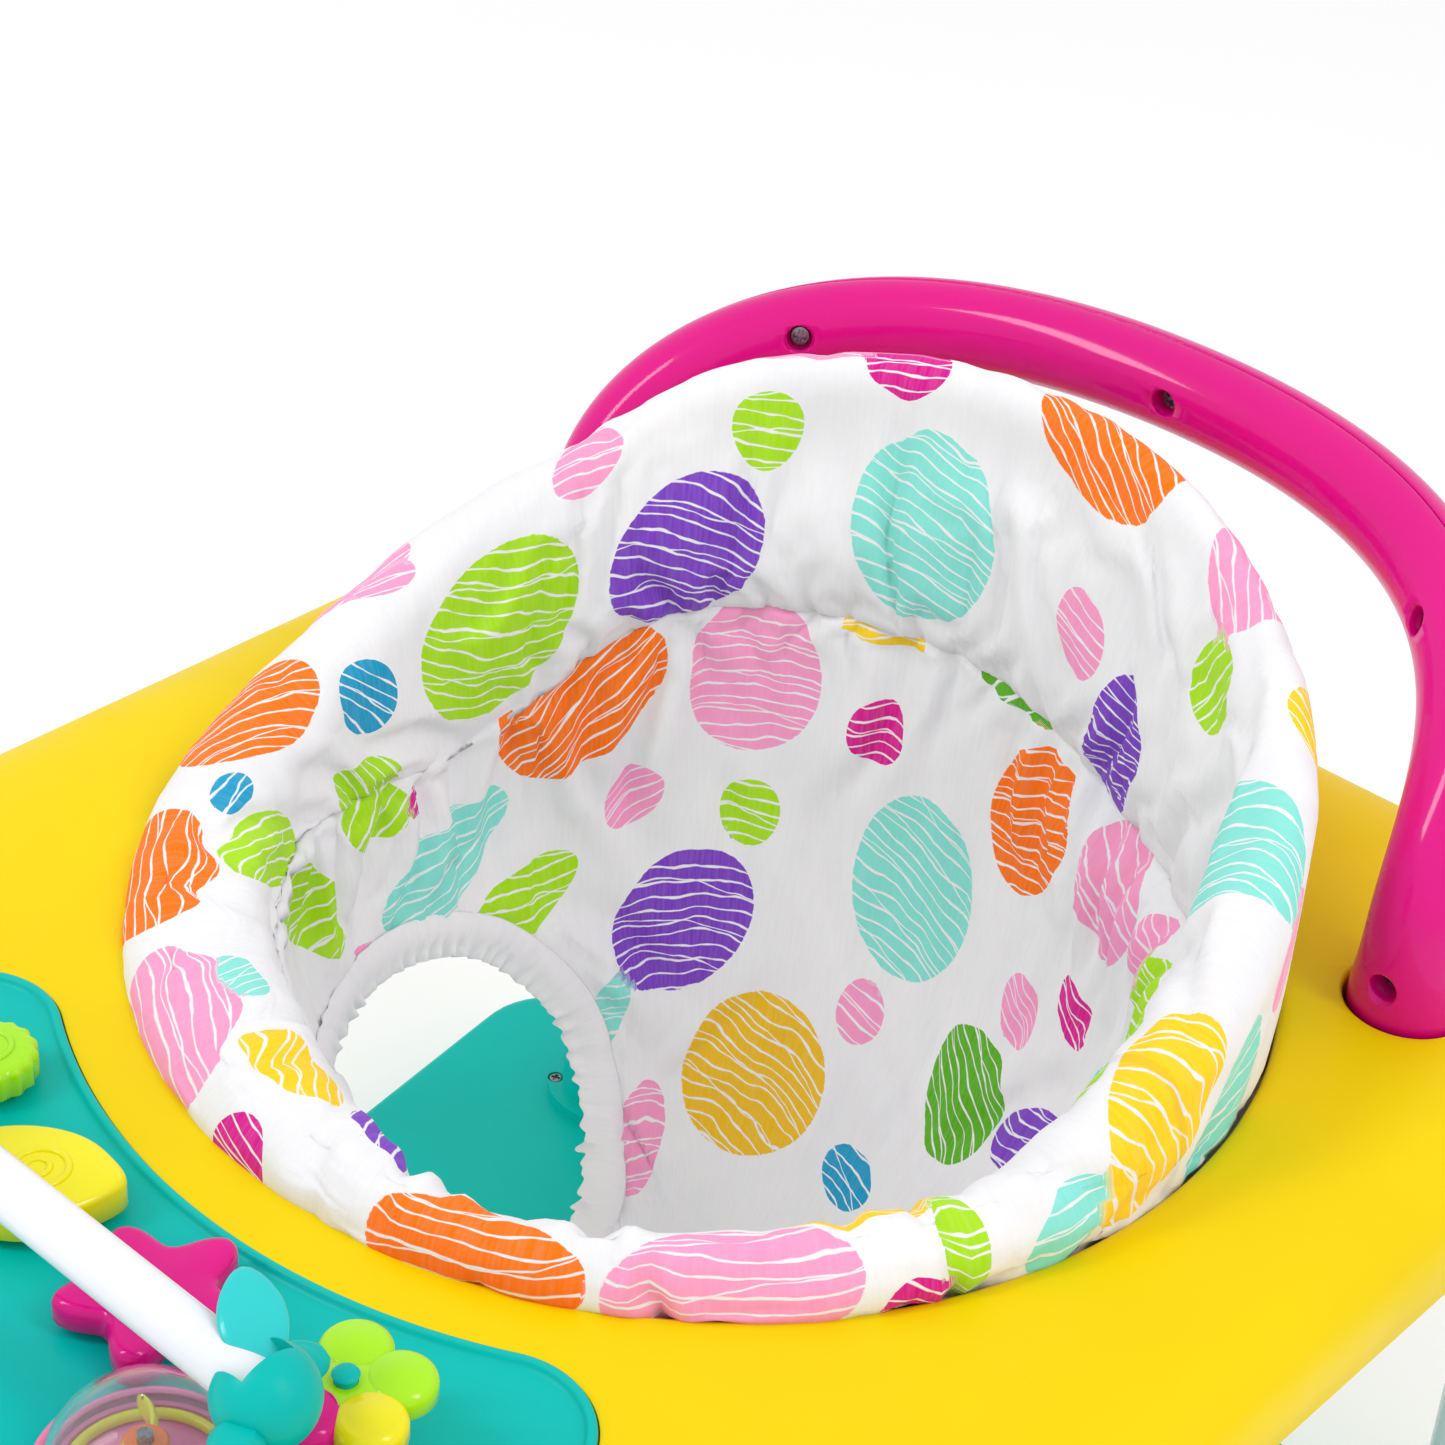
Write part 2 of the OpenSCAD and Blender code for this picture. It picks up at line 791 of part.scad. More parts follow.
base_platform();
rubber_feet();
socket_screws();
for (c = CORNERS) {
    post_socket(c);
    lower_tube(c);
    bounce_spring(c);
    inner_post(c);
    lock_button(c);
}
tube_collars();
post_plungers();
tray_top();
tray_underside();
tray_screws();
lock_springs();
handle_front_shell();
handle_back_shell();
handle_screws();
seat_ring();
ring_retainer();
ring_screws();
seat_collar();
collar_board();
seat_bucket();
leg_cuff(-1);  // leg_cuff_left
leg_cuff(1);  // leg_cuff_right
seat_hooks();
toy_tray();
sound_box();
battery_door();
battery_door_screw();
batteries();
star_button();
leaf_button();
dial_button();
button_pads();
toy_bar();
bar_clip(-1);  // bar_clip_left
bar_clip(1);  // bar_clip_right
flower_spinner();
flower_stem();
dome_cover();
dome_ring();
dome_whirl();
dome_pin();
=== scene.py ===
"""Looks for the activity jumper: fabric seat, moulded tray, handle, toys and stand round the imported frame."""
import json
import math

import bmesh
import bpy
import numpy as np
from mathutils import Matrix, Vector


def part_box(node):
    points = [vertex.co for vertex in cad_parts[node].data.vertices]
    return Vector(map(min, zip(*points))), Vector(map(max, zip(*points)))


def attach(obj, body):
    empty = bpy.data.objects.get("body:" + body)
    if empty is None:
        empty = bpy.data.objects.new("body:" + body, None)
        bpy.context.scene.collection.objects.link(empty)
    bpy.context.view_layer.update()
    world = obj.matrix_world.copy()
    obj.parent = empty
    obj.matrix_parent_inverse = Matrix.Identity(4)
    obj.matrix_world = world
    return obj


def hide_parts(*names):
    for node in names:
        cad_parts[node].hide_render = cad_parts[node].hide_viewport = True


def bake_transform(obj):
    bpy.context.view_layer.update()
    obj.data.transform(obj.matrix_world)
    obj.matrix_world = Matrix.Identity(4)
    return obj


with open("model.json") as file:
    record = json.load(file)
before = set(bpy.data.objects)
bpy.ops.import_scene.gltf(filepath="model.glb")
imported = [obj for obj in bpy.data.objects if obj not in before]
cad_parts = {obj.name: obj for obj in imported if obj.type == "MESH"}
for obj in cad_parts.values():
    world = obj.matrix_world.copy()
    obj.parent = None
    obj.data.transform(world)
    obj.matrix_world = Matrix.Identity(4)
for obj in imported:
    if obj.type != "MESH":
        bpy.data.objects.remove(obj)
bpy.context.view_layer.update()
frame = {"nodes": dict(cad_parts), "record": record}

scene = bpy.context.scene
scene.view_settings.view_transform = "Standard"

# The seat's axis and the tray's top plane: every shape below is in millimetres from here.
ring_low, ring_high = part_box("seat_ring")
SEAT = np.array([0.0, (ring_low.y + ring_high.y) / 2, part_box("tray_top")[1].z])
FLOOR = -SEAT[2] * 1000
POSTS = {"front_left": (-186, -225), "front_right": (186, -225), "back_left": (-207, 184), "back_right": (207, 184)}


def place(points):
    """Millimetres from the seat's axis and the tray's top, to metres in the frame."""
    return np.asarray(points, float) / 1000 + SEAT


# ---------------------------------------------------------------- camera

CAMERA_AT = (519.3, -596.4, 591.1)
CAMERA_TURN, CAMERA_TILT, CAMERA_ROLL = (math.radians(a) for a in (41.01, 33.31, 3.49))
LENS, SENSOR = 79.72, 36


def add_camera():
    """A camera turned from the front to the right, tilted down and rolled a little."""
    data = bpy.data.cameras.new("camera")
    data.lens, data.sensor_width = LENS, SENSOR
    data.clip_start, data.clip_end = 0.01, 50
    cam = bpy.data.objects.new("camera", data)
    scene.collection.objects.link(cam)
    right = Vector((math.cos(CAMERA_TURN), math.sin(CAMERA_TURN), 0))
    level = Vector((-math.sin(CAMERA_TURN), math.cos(CAMERA_TURN), 0))
    ahead = level * math.cos(CAMERA_TILT) - Vector((0, 0, math.sin(CAMERA_TILT)))
    up = right.cross(ahead)
    across = right * math.cos(CAMERA_ROLL) + up * math.sin(CAMERA_ROLL)
    upward = up * math.cos(CAMERA_ROLL) - right * math.sin(CAMERA_ROLL)
    pose = Matrix((across, upward, -ahead)).transposed().to_4x4()
    pose.translation = Vector(place(CAMERA_AT))
    cam.matrix_world = pose
    scene.camera = cam


add_camera()

# ---------------------------------------------------------------- materials


def colour(code):
    """A hex colour as linear RGBA."""
    parts = [int(code[i:i + 2], 16) / 255 for i in (1, 3, 5)]
    return tuple(p / 12.92 if p <= 0.04045 else ((p + 0.055) / 1.055) ** 2.4 for p in parts) + (1.0,)


def tint(code, scale, add=0.0):
    """A hex colour made darker or paler, as linear RGBA."""
    return tuple(min(1.0, v * scale + add) for v in colour(code)[:3]) + (1.0,)


class Nodes:
    """Short names for building a material's nodes."""

    def __init__(self, name):
        self.mat = bpy.data.materials.new(name)
        self.mat.use_nodes = True
        self.tree = self.mat.node_tree
        self.bsdf = self.tree.nodes["Principled BSDF"]

    def new(self, kind, values=None, **settings):
        node = self.tree.nodes.new(kind)
        for key, value in settings.items():
            setattr(node, key, value)
        for key, value in (values or {}).items():
            self.feed(node.inputs[key], value)
        return node

    def feed(self, socket, value):
        if isinstance(value, bpy.types.NodeSocket):
            self.tree.links.new(value, socket)
        else:
            socket.default_value = value

    def set(self, **values):
        for key, value in values.items():
            self.feed(self.bsdf.inputs[key.replace("_", " ")], value)

    def stretch(self, vector, scale):
        return self.new("ShaderNodeMapping", {"Vector": vector, "Scale": scale}).outputs["Vector"]

    def place(self, scale=(1, 1, 1)):
        return self.stretch(self.new("ShaderNodeTexCoord").outputs["Object"], scale)

    def attribute(self, key, kind="Fac"):
        return self.new("ShaderNodeAttribute", attribute_name=key).outputs[kind]

    def split(self, vector):
        return self.new("ShaderNodeSeparateXYZ", {"Vector": vector}).outputs

    def noise(self, vector, scale, detail=2.0, rough=0.5):
        values = {"Vector": vector, "Scale": scale, "Detail": detail, "Roughness": rough}
        return self.new("ShaderNodeTexNoise", values).outputs["Fac"]

    def math(self, op, a, b=0.0, c=0.0):
        node = self.new("ShaderNodeMath", operation=op)
        for socket, value in zip(node.inputs, (a, b, c)):
            self.feed(socket, value)
        return node.outputs[0]

    def span(self, value, low, high, to_low=0.0, to_high=1.0):
        values = {"Value": value, "From Min": low, "From Max": high, "To Min": to_low, "To Max": to_high}
        return self.new("ShaderNodeMapRange", values, interpolation_type="SMOOTHSTEP").outputs["Result"]

    def mix(self, share, a, b):
        node = self.new("ShaderNodeMix", data_type="RGBA")
        for socket, value in zip((node.inputs[0], node.inputs[6], node.inputs[7]), (share, a, b)):
            self.feed(socket, value)
        return node.outputs[2]

    def bump(self, *layers):
        """Layers of (height, strength, distance in metres), lowest first."""
        normal = None
        for height, strength, distance in layers:
            node = self.new("ShaderNodeBump", {"Height": height, "Strength": strength, "Distance": distance})
            if normal is not None:
                self.feed(node.inputs["Normal"], normal)
            normal = node.outputs["Normal"]
        self.set(Normal=normal)


def moulded(name, code, rough=0.3, coat=0.0, grain=0.35, worn=0.12, through=0.0, shine=0.3):
    """Moulded plastic: faint flow clouds in the colour, a fine spark texture, and paler rubbed edges."""
    n = Nodes(name)
    spot = n.place()
    clean = n.mix(n.span(n.noise(spot, 9.0, 3.0), 0.3, 0.7), tint(code, 0.93), colour(code))
    edge = n.span(n.new("ShaderNodeNewGeometry").outputs["Pointiness"], 0.52, 0.6, 0.0, worn)
    scuffs = n.span(n.noise(n.place((1, 1, 3)), 60.0, 5.0, 0.7), 0.55, 0.75)
    n.set(Base_Color=n.mix(n.math("MULTIPLY", edge, scuffs), clean, tint(code, 1.05, 0.012)),
          Roughness=n.span(n.noise(spot, 26.0, 4.0, 0.6), 0.35, 0.75, rough * 0.86, rough * 1.2),
          Coat_Weight=coat, Coat_Roughness=0.08, IOR=1.49, Specular_IOR_Level=shine)
    if through:
        n.set(Subsurface_Weight=through, Subsurface_Radius=(1.0, 0.8, 0.6), Subsurface_Scale=0.003)
    n.bump((n.noise(spot, 14.0, 2.0), 0.05, 0.002), (n.noise(spot, 1700.0, 2.0), grain, 0.00006))
    return n.mat


def metal(name, code, rough, along=(1, 1, 1), scratch=0.3):
    """Plated steel, with dull patches and scratches that may run one way."""
    n = Nodes(name)
    fine = n.noise(n.place(along), 900.0, 4.0, 0.6)
    dull = n.span(n.noise(n.place(), 40.0, 3.0), 0.35, 0.7)
    n.set(Base_Color=n.mix(dull, colour(code), tint(code, 0.8)), Metallic=1.0,
          Roughness=n.span(fine, 0.3, 0.7, rough * 0.75, rough * 1.3))
    n.bump((fine, scratch, 0.00005))
    return n.mat


def rubber(name, code, rough=0.75):
    """Rubber with a little dust on it."""
    n = Nodes(name)
    spot = n.place()
    dust = n.span(n.noise(spot, 30.0, 5.0, 0.7), 0.45, 0.8, 0.0, 0.25)
    n.set(Base_Color=n.mix(dust, colour(code), tint(code, 1.0, 0.12)),
          Roughness=n.span(n.noise(spot, 200.0, 2.0), 0.3, 0.7, rough - 0.1, rough + 0.1))
    n.bump((n.noise(spot, 1500.0, 3.0), 0.4, 0.0001))
    return n.mat


WEAVE = 0.42    # one pair of threads, in millimetres
# The lines left white in a dot, coarse and sparse: gap, slope, wander, width and the noise's offset.
WHITE_LINES = ((4.9, 0.0, 11.0, 0.62, 0.0), (14.0, 0.12, 9.0, 0.42, 31.0))


def add_dots(n, cloth, slub):
    """Lays the dots that the mesh's attributes hold over the cloth's colour, crossed by hand-drawn lines."""
    where = n.split(n.attribute("dot_at", "Vector"))
    x, y, seed = where["X"], where["Y"], where["Z"]

    def drift(scale_x, scale_y, offset):
        values = {"X": n.math("MULTIPLY", x, scale_x), "Y": n.math("MULTIPLY", y, scale_y),
                  "Z": n.math("ADD", seed, offset)}
        spot = n.new("ShaderNodeCombineXYZ", values).outputs[0]
        return n.math("SUBTRACT", n.noise(spot, 1.0, 1.0), 0.5)

    edge = n.math("MULTIPLY_ADD", drift(0.5, 0.5, 77.0), 0.03, n.attribute("dot"))
    inked = n.span(edge, 1.006, 0.994)
    for gap, slope, wander, width, offset in WHITE_LINES:
        height = n.math("MULTIPLY_ADD", x, slope, y)
        bent = n.math("MULTIPLY_ADD", drift(0.028, 0.05, offset), wander, height)
        shaken = n.math("MULTIPLY_ADD", drift(0.11, 0.09, offset + 5), 1.9, bent)
        away = n.math("MULTIPLY", n.math("PINGPONG", n.math("DIVIDE", shaken, gap), 0.5), gap)
        half = n.math("MULTIPLY_ADD", drift(0.16, 0.3, offset + 9), width * 1.1, width / 2)
        inked = n.math("MULTIPLY", inked, n.span(n.math("SUBTRACT", away, half), -0.12, 0.16))
    ink = n.mix(n.span(slub, 0.3, 0.75, 0.0, 0.05), n.attribute("dot_ink", "Color"), colour("#FFFFFF"))
    return n.mix(inked, cloth, ink)


def cotton(name, printed=True):
    """White woven cotton, soft all over and a little grey at the seam."""
    n = Nodes(name)
    flat = n.attribute("cloth", "Vector")
    threads = n.split(flat)
    warp, weft = (n.math("SINE", n.math("MULTIPLY", threads[way], 2 * math.pi / WEAVE)) for way in "XY")
    weave = n.math("MULTIPLY", warp, weft)
    slub = n.noise(n.stretch(flat, (0.9, 0.07, 1)), 1.0, 3.0)
    white = n.mix(n.span(n.noise(n.place(), 14.0, 3.0), 0.35, 0.7), colour("#EDECEE"), colour("#E8E7EA"))
    cloth = n.mix(n.span(slub, 0.35, 0.7, 0.0, 0.25), white, colour("#E0DFE3"))
    if printed:
        cloth = add_dots(n, cloth, slub)
    cloth = n.mix(n.math("MULTIPLY", n.attribute("seam"), 0.1), cloth, colour("#B9B4B8"))
    n.set(Base_Color=cloth, Roughness=n.span(weave, -1.0, 1.0, 0.78, 0.9), IOR=1.45,
          Sheen_Weight=0.08, Sheen_Roughness=0.45, Specular_IOR_Level=0.12,
          Subsurface_Weight=0.12, Subsurface_Radius=(1.0, 0.85, 0.8), Subsurface_Scale=0.004)
    crease = n.noise(n.stretch(flat, (0.055, 0.018, 1)), 1.0, 4.0, 0.55)
    n.bump((crease, 0.35, 0.004), (n.noise(n.place(), 260.0, 3.0), 0.12, 0.0006), (weave, 0.3, 0.00006))
    return n.mat


def clear(name):
    """Clear plastic with a slight haze."""
    n = Nodes(name)
    spot = n.place()
    n.set(Base_Color=n.mix(n.span(n.noise(spot, 20.0), 0.3, 0.7), colour("#F4FBFF"), colour("#E6F4FA")),
          Roughness=n.span(n.noise(spot, 60.0, 4.0, 0.6), 0.4, 0.8, 0.03, 0.12),
          Transmission_Weight=0.95, IOR=1.2, Specular_IOR_Level=0.6)
    n.bump((n.noise(spot, 35.0, 2.0), 0.05, 0.001))
    return n.mat


GLOSSY = dict(coat=0.3, grain=0.15, rough=0.22)
PLASTICS = {
    "yellow_shell": dict(code="#EECF00", rough=0.42, grain=0.5, worn=0.05, shine=0.12),
    "teal_plastic": dict(code="#00B9B1", rough=0.36, grain=0.4, worn=0.05, shine=0.14),
    "aqua_plastic": dict(code="#2CCBCB", rough=0.2, coat=0.2, grain=0.15, through=0.25, shine=0.2),
    "magenta_plastic": dict(code="#DC0084", rough=0.3, coat=0.5, grain=0.05, worn=0.03, shine=0.05),
    "white_plastic": dict(code="#EEF0F6", rough=0.22, coat=0.3, grain=0.12),
    "white_tube": dict(code="#EEF0F4", rough=0.3, coat=0.2, grain=0.7),
    "lime_plastic": dict(code="#A9E800", rough=0.18, coat=0.4, grain=0.1),
    "lemon_plastic": dict(code="#F0E400", **GLOSSY),
    "orange_plastic": dict(code="#FF7A12", **GLOSSY),
    "pink_plastic": dict(code="#F47FB0", **GLOSSY),
    "grey_plastic": dict(code="#A6A9AF", rough=0.45, grain=0.6),
    "board": dict(code="#D0D3D8", rough=0.5, grain=0.6),
    "battery_skin": dict(code="#50555C", rough=0.3, grain=0.2),
}
MATERIALS = {name: moulded(name, **look) for name, look in PLASTICS.items()}
MATERIALS.update({
    "clear_plastic": clear("clear_plastic"),
    "post_steel": metal("post_steel", "#C8CBD0", 0.28, along=(1, 1, 0.02)),
    "screw_steel": metal("screw_steel", "#9A9CA2", 0.3, scratch=0.5),
    "spring_steel": metal("spring_steel", "#8F9196", 0.35),
    "rubber_grip": rubber("rubber_grip", "#2C2E32"),
    "silicone": rubber("silicone", "#D5D8DC", rough=0.5),
    "print_cotton": cotton("print_cotton"),
    "trim_cotton": cotton("trim_cotton", printed=False),
})
for part in frame["record"]["subparts"]:
    shown = frame["nodes"][part["node"]]
    shown.data.materials.clear()
    shown.data.materials.append(MATERIALS[part["material_slot"]])

# ---------------------------------------------------------------- lines and vectors


def unit(vectors):
    """A vector, or each row of vectors, made one long."""
    return vectors / np.maximum(np.linalg.norm(vectors, axis=-1, keepdims=True), 1e-9)


def without(vectors, way):
    """Vectors with their part along a unit direction taken out."""
    return vectors - (vectors * way).sum(-1, keepdims=True) * way


def full_turn(count):
    """Angles that go once round in even steps."""
    return np.arange(count) * 2 * math.pi / count


def arc(centre, radius, first, last, steps):
    """Points on a flat arc, both ends included."""
    t = np.linspace(first, last, steps)
    return np.column_stack([centre[0] + radius * np.cos(t), centre[1] + radius * np.sin(t)])


def mirrored(side):
    """An outline's right side and its mirror twin, as one line."""
    return np.vstack([side, side[::-1] * (-1, 1)])


def run(line):
    """How far along a line each of its points is."""
    return np.concatenate([[0], np.cumsum(np.linalg.norm(np.diff(line, axis=0), axis=1))])


def even(points, count, closed=True):
    """The same line with points spaced evenly along it."""
    points = np.asarray(points, float)
    line = np.vstack([points, points[:1]]) if closed else points
    length = run(line)
    spots = np.linspace(0, length[-1], count, endpoint=not closed)
    return np.stack([np.interp(spots, length, line[:, k]) for k in range(line.shape[1])], 1)


def smooth_line(points, steps=12):
    """A Catmull-Rom curve through open points."""
    p = np.asarray(points, float)
    p = np.vstack([2 * p[0] - p[1], p, 2 * p[-1] - p[-2]])
    out = []
    for i in range(1, len(p) - 2):
        for t in np.linspace(0, 1, steps, endpoint=False):
            out.append(0.5 * (2 * p[i] + (p[i + 1] - p[i - 1]) * t
                              + (2 * p[i - 1] - 5 * p[i] + 4 * p[i + 1] - p[i + 2]) * t * t
                              + (3 * p[i] - p[i - 1] - 3 * p[i + 1] + p[i + 2]) * t ** 3))
    out.append(p[-2])
    return np.array(out)


def around(table, angle):
    """A smooth periodic value from (degrees, value) pairs, by cubic interpolation."""
    knots, values = np.array(table, float).T
    knots = np.concatenate([knots[-3:] - 360, knots, knots[:3] + 360])
    values = np.concatenate([values[-3:], values, values[:3]])
    slope = np.gradient(values, knots)
    angle = (np.asarray(angle, float) - table[0][0]) % 360 + table[0][0]
    i = np.clip(np.searchsorted(knots, angle, side="right") - 1, 0, len(knots) - 2)
    h = knots[i + 1] - knots[i]
    t = (angle - knots[i]) / h
    return ((2 * t**3 - 3 * t**2 + 1) * values[i] + (t**3 - 2 * t**2 + t) * h * slope[i]
            + (-2 * t**3 + 3 * t**2) * values[i + 1] + (t**3 - t**2) * h * slope[i + 1])


# ---------------------------------------------------------------- mesh helpers


def add_mesh(name, points, faces, slot=None):
    """A new object from points in millimetres about the seat."""
    mesh = bpy.data.meshes.new(name)
    mesh.from_pydata(place(points).tolist(), [], [list(map(int, f)) for f in faces])
    if slot:
        mesh.materials.append(MATERIALS[slot])
    obj = bpy.data.objects.new(name, mesh)
    scene.collection.objects.link(obj)
    return obj


def face_out(obj):
    tool = bmesh.new()
    tool.from_mesh(obj.data)
    bmesh.ops.recalc_face_normals(tool, faces=tool.faces)
    tool.to_mesh(obj.data)
    tool.free()


def shade(obj, sharp=None):
    """Smooth shading, with hard edges past an angle in degrees."""
    obj.data.shade_smooth()
    if sharp:
        obj.data.set_sharp_from_angle(angle=math.radians(sharp))


def build(name, shape, body, slot, replaces=(), sharp=None):
    """A piece from a shape's points and faces; it rides on a body and takes a slot's material."""
    obj = add_mesh(name, *shape, slot)
    obj.data.validate()
    face_out(obj)
    shade(obj, sharp)
    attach(obj, body)
    if replaces:
        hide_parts(*replaces)
    return obj


def strips(rows, cols, closed_rows=False, closed_cols=True):
    """Quads of a grid of rows by cols points."""
    faces = []
    for i in range(rows if closed_rows else rows - 1):
        for k in range(cols if closed_cols else cols - 1):
            a, b = i * cols + k, i * cols + (k + 1) % cols
            c, d = ((i + 1) % rows) * cols + (k + 1) % cols, ((i + 1) % rows) * cols + k
            faces.append((a, b, c, d))
    return faces


def loft(rings, cap_first=True, cap_last=True, closed=False):
    """Points and faces of a skin over closed rings that all have the same number of points."""
    count = len(rings[0])
    points = np.concatenate([np.asarray(r, float) for r in rings])
    faces = strips(len(rings), count, closed_rows=closed)
    if cap_first and not closed:
        faces.append(tuple(range(count - 1, -1, -1)))
    if cap_last and not closed:
        faces.append(tuple((len(rings) - 1) * count + k for k in range(count)))
    return points, faces


def turn_to(way):
    """The matrix that turns +Z to a direction."""
    return np.array(Vector((0, 0, 1)).rotation_difference(Vector(way).normalized()).to_matrix())


def lathe(profile, at=(0, 0, 0), steps=64, to=(0, 0, 1)):
    """Points and faces of a (radius, height) profile turned about an axis, with a cap on each end."""
    angle, turn = full_turn(steps), turn_to(to).T
    at = np.array([*at, 0][:3], float)
    rings = []
    for radius, height in profile:
        ring = np.stack([radius * np.cos(angle), radius * np.sin(angle), np.full(steps, float(height))], 1)
        rings.append(ring @ turn + at)
    return loft(rings)


def sleeve(profile, **where):
    """A lathe of a profile that ends where it starts, with no caps."""
    points, faces = lathe(profile, **where)
    return points, [f for f in faces if len(f) == 4]


def tube(mid, first, second, count):
    """An oval ring of points about a middle, from two half axes."""
    return [mid + first * math.cos(t) + second * math.sin(t) for t in full_turn(count)]


def join_parts(parts):
    """Several shapes as one."""
    points, faces, start = [], [], 0
    for p, f in parts:
        points.append(np.asarray(p, float))
        faces += [tuple(start + k for k in face) for face in f]
        start += len(p)
    return np.concatenate(points), faces


def apply_modifiers(obj):
    bpy.context.view_layer.update()
    deps = bpy.context.evaluated_depsgraph_get()
    mesh = bpy.data.meshes.new_from_object(obj.evaluated_get(deps))
    old, obj.data = obj.data, mesh
    obj.modifiers.clear()
    bpy.data.meshes.remove(old)


def cut(obj, parts, sharp):
    """Takes shapes out of a piece and shades it again."""
    tool = add_mesh("cutter", *join_parts(parts))
    face_out(tool)
    mod = obj.modifiers.new("cut", "BOOLEAN")
    mod.operation, mod.solver, mod.object = "DIFFERENCE", "EXACT", tool
    apply_modifiers(obj)
    bpy.data.objects.remove(tool)
    shade(obj, sharp)


# ---------------------------------------------------------------- fabric

# By angle round the seat in degrees: 0 is the right, 90 the back, 270 the front.
COLLAR_TOP = ((0, 40), (11, 56), (25, 75), (40, 89), (56, 99), (72, 110), (90, 117), (106, 118), (120, 113),
              (135, 102), (150, 79), (165, 60), (178, 42), (190, 30), (204, 21), (220, 17), (240, 15), (270, 15),
              (300, 15), (326, 16), (340, 19), (350, 28))
SEAM_RISE = ((0, -9), (30, -8), (55, -6), (70, -1), (78, 4), (88, 12), (98, 18), (110, 20), (126, 20), (138, 16),
             (148, 4), (160, -14), (170, -22), (185, -20), (205, -12), (240, -9), (300, -9), (335, -9))
INNER_R = ((0, 142), (12, 144), (28, 148), (60, 150), (95, 150), (130, 149), (155, 146), (178, 141), (200, 136),
           (225, 129), (252, 127), (262, 131), (275, 139), (286, 148), (300, 150), (314, 146), (330, 143), (345, 142))
OUTER_R = ((0, 171.5), (15, 170), (40, 169.5), (60, 170.5), (85, 173), (180, 174), (270, 173.4), (345, 173))
TURNS, RISE_STEPS, HIDDEN_STEPS, DROP_STEPS = 360, 76, 12, 92
MM_PER_DEGREE = math.radians(1) * 155    # print coordinates round the seat

# The bucket's wall from the seam down, as (share of its radius, height).
BUCKET_LINE = ((1.0, 0.0), (0.985, -22), (0.955, -60), (0.875, -105), (0.76, -142), (0.61, -168), (0.44, -180),
               (0.22, -182.5), (0.02, -183))
LEG_R, BOTTOM, FAR_OFF = 66.0, -181.0, 50.0
CUFF = ((6.0, 0.5), (2.5, 1.9), (-1.5, 2.0), (-4.2, 1.2), (-7.2, 0.5), (-9.6, 0.28), (-9.9, -0.1), (-9.6, -0.42),
        (-7.2, -0.5), (-4.2, -1.2), (-1.5, -2.0), (2.5, -1.9), (6.0, -0.5), (6.6, 0.0))


def swing(profile, degrees):
    """A flat (radius, height) line stood up at an angle round the seat."""
    a = math.radians(degrees)
    return np.stack([profile[:, 0] * math.cos(a), profile[:, 0] * math.sin(a), profile[:, 1]], 1)


def outward(degrees):
    """Level unit vectors away from the seat's axis."""
    return np.stack([np.cos(np.radians(degrees)), np.sin(np.radians(degrees)), np.zeros(len(degrees))], 1)


def apart(degrees, start):
    """Degrees round the seat from start, from -180 to 180."""
    return (degrees - start + 180) % 360 - 180


def collar_profile(angle):
    """The collar's outline at one angle: (radius, height) up the outside, over the top and down to the seam."""
    top, seam, outer, inner = (float(around(t, angle)) for t in (COLLAR_TOP, SEAM_RISE, OUTER_R, INNER_R))
    tall = min(1.0, max(0.0, (top - 15) / 85))      # 0 on the low front roll, 1 at the tall back
    inner_top, inner_low = inner + 5.5 * tall, inner + 2.0 * (1 - tall)
    mid = inner_top + 0.5 * (outer - inner_top)
    cap_out, cap_in = min(13.0, top - 1), min(15.0, top + 3)
    points = [(min(172.4, outer - 1), -7), (min(173.0, outer), 0)]
    if top - cap_out > 6:
        points += [(outer + 0.6 * tall, h) for h in np.linspace(8, top - cap_out, 6)]
    bend = np.linspace(0.15, math.pi / 2, 9)
    points += [(mid + (outer - mid) * math.cos(t), top - cap_out + cap_out * math.sin(t)) for t in bend]
    points += [(mid - (mid - inner_top) * math.sin(t), top - cap_in + cap_in * math.cos(t)) for t in bend]
    low = top - cap_in
    if low - seam > 5:
        points += [(inner_top + (inner_low - inner_top) * s, low + (seam - low) * s) for s in (0.3, 0.65, 0.9)]
    points += [(inner_low + 0.5, seam + 2), (inner_low + 1.9, seam + 0.2)]
    return np.array(points), inner_low, seam


def collar_grid():
    """The collar as a closed grid, with the cloth's own coordinates: degrees, and mm up from the seam."""
    rings, flat = [], []
    for i in range(TURNS):
        angle = 360 * i / TURNS
        line, inner, seam = collar_profile(angle)
        skin = even(line[::-1], RISE_STEPS, closed=False)
        back = [skin[-1], (165, -7.8), (153, -8), (inner + 7, min(-7.5, seam - 2)), (inner + 5, seam - 1.5), skin[0]]
        hidden = even(back, HIDDEN_STEPS + 2, closed=False)[1:-1]
        rings.append(swing(np.vstack([skin, hidden]), angle))
        high = run(skin)
        high = np.concatenate([high, np.linspace(high[-1] + 2, high[-1] + 30, HIDDEN_STEPS)])
        flat.append(np.column_stack([np.full(len(high), angle), high]))
    return np.concatenate(rings), np.concatenate(flat)


def leg_axis(side):
    """A point on a leg opening's axis and its direction."""
    lean, turn = math.radians(127), math.radians(-9 if side > 0 else 189)
    way = np.array([math.sin(lean) * math.cos(turn), math.sin(lean) * math.sin(turn), math.cos(lean)])
    return np.array([side * 98.0, -14.0, -136.0]), way


def leg_gap(points, side):
    """How far outside a leg opening's edge each point lies, and the direction away from the opening."""
    base, way = leg_axis(side)
    off = without(points - base, way)
    ahead = (points - base) @ way > -30
    return np.where(ahead, np.linalg.norm(off, axis=1) - LEG_R, FAR_OFF), unit(off)


def bucket_width(share):
    """The bucket's radius at a share of it; the rim is drawn in a little."""
    return share * (142.0 if share > 0.9 else 143.0)


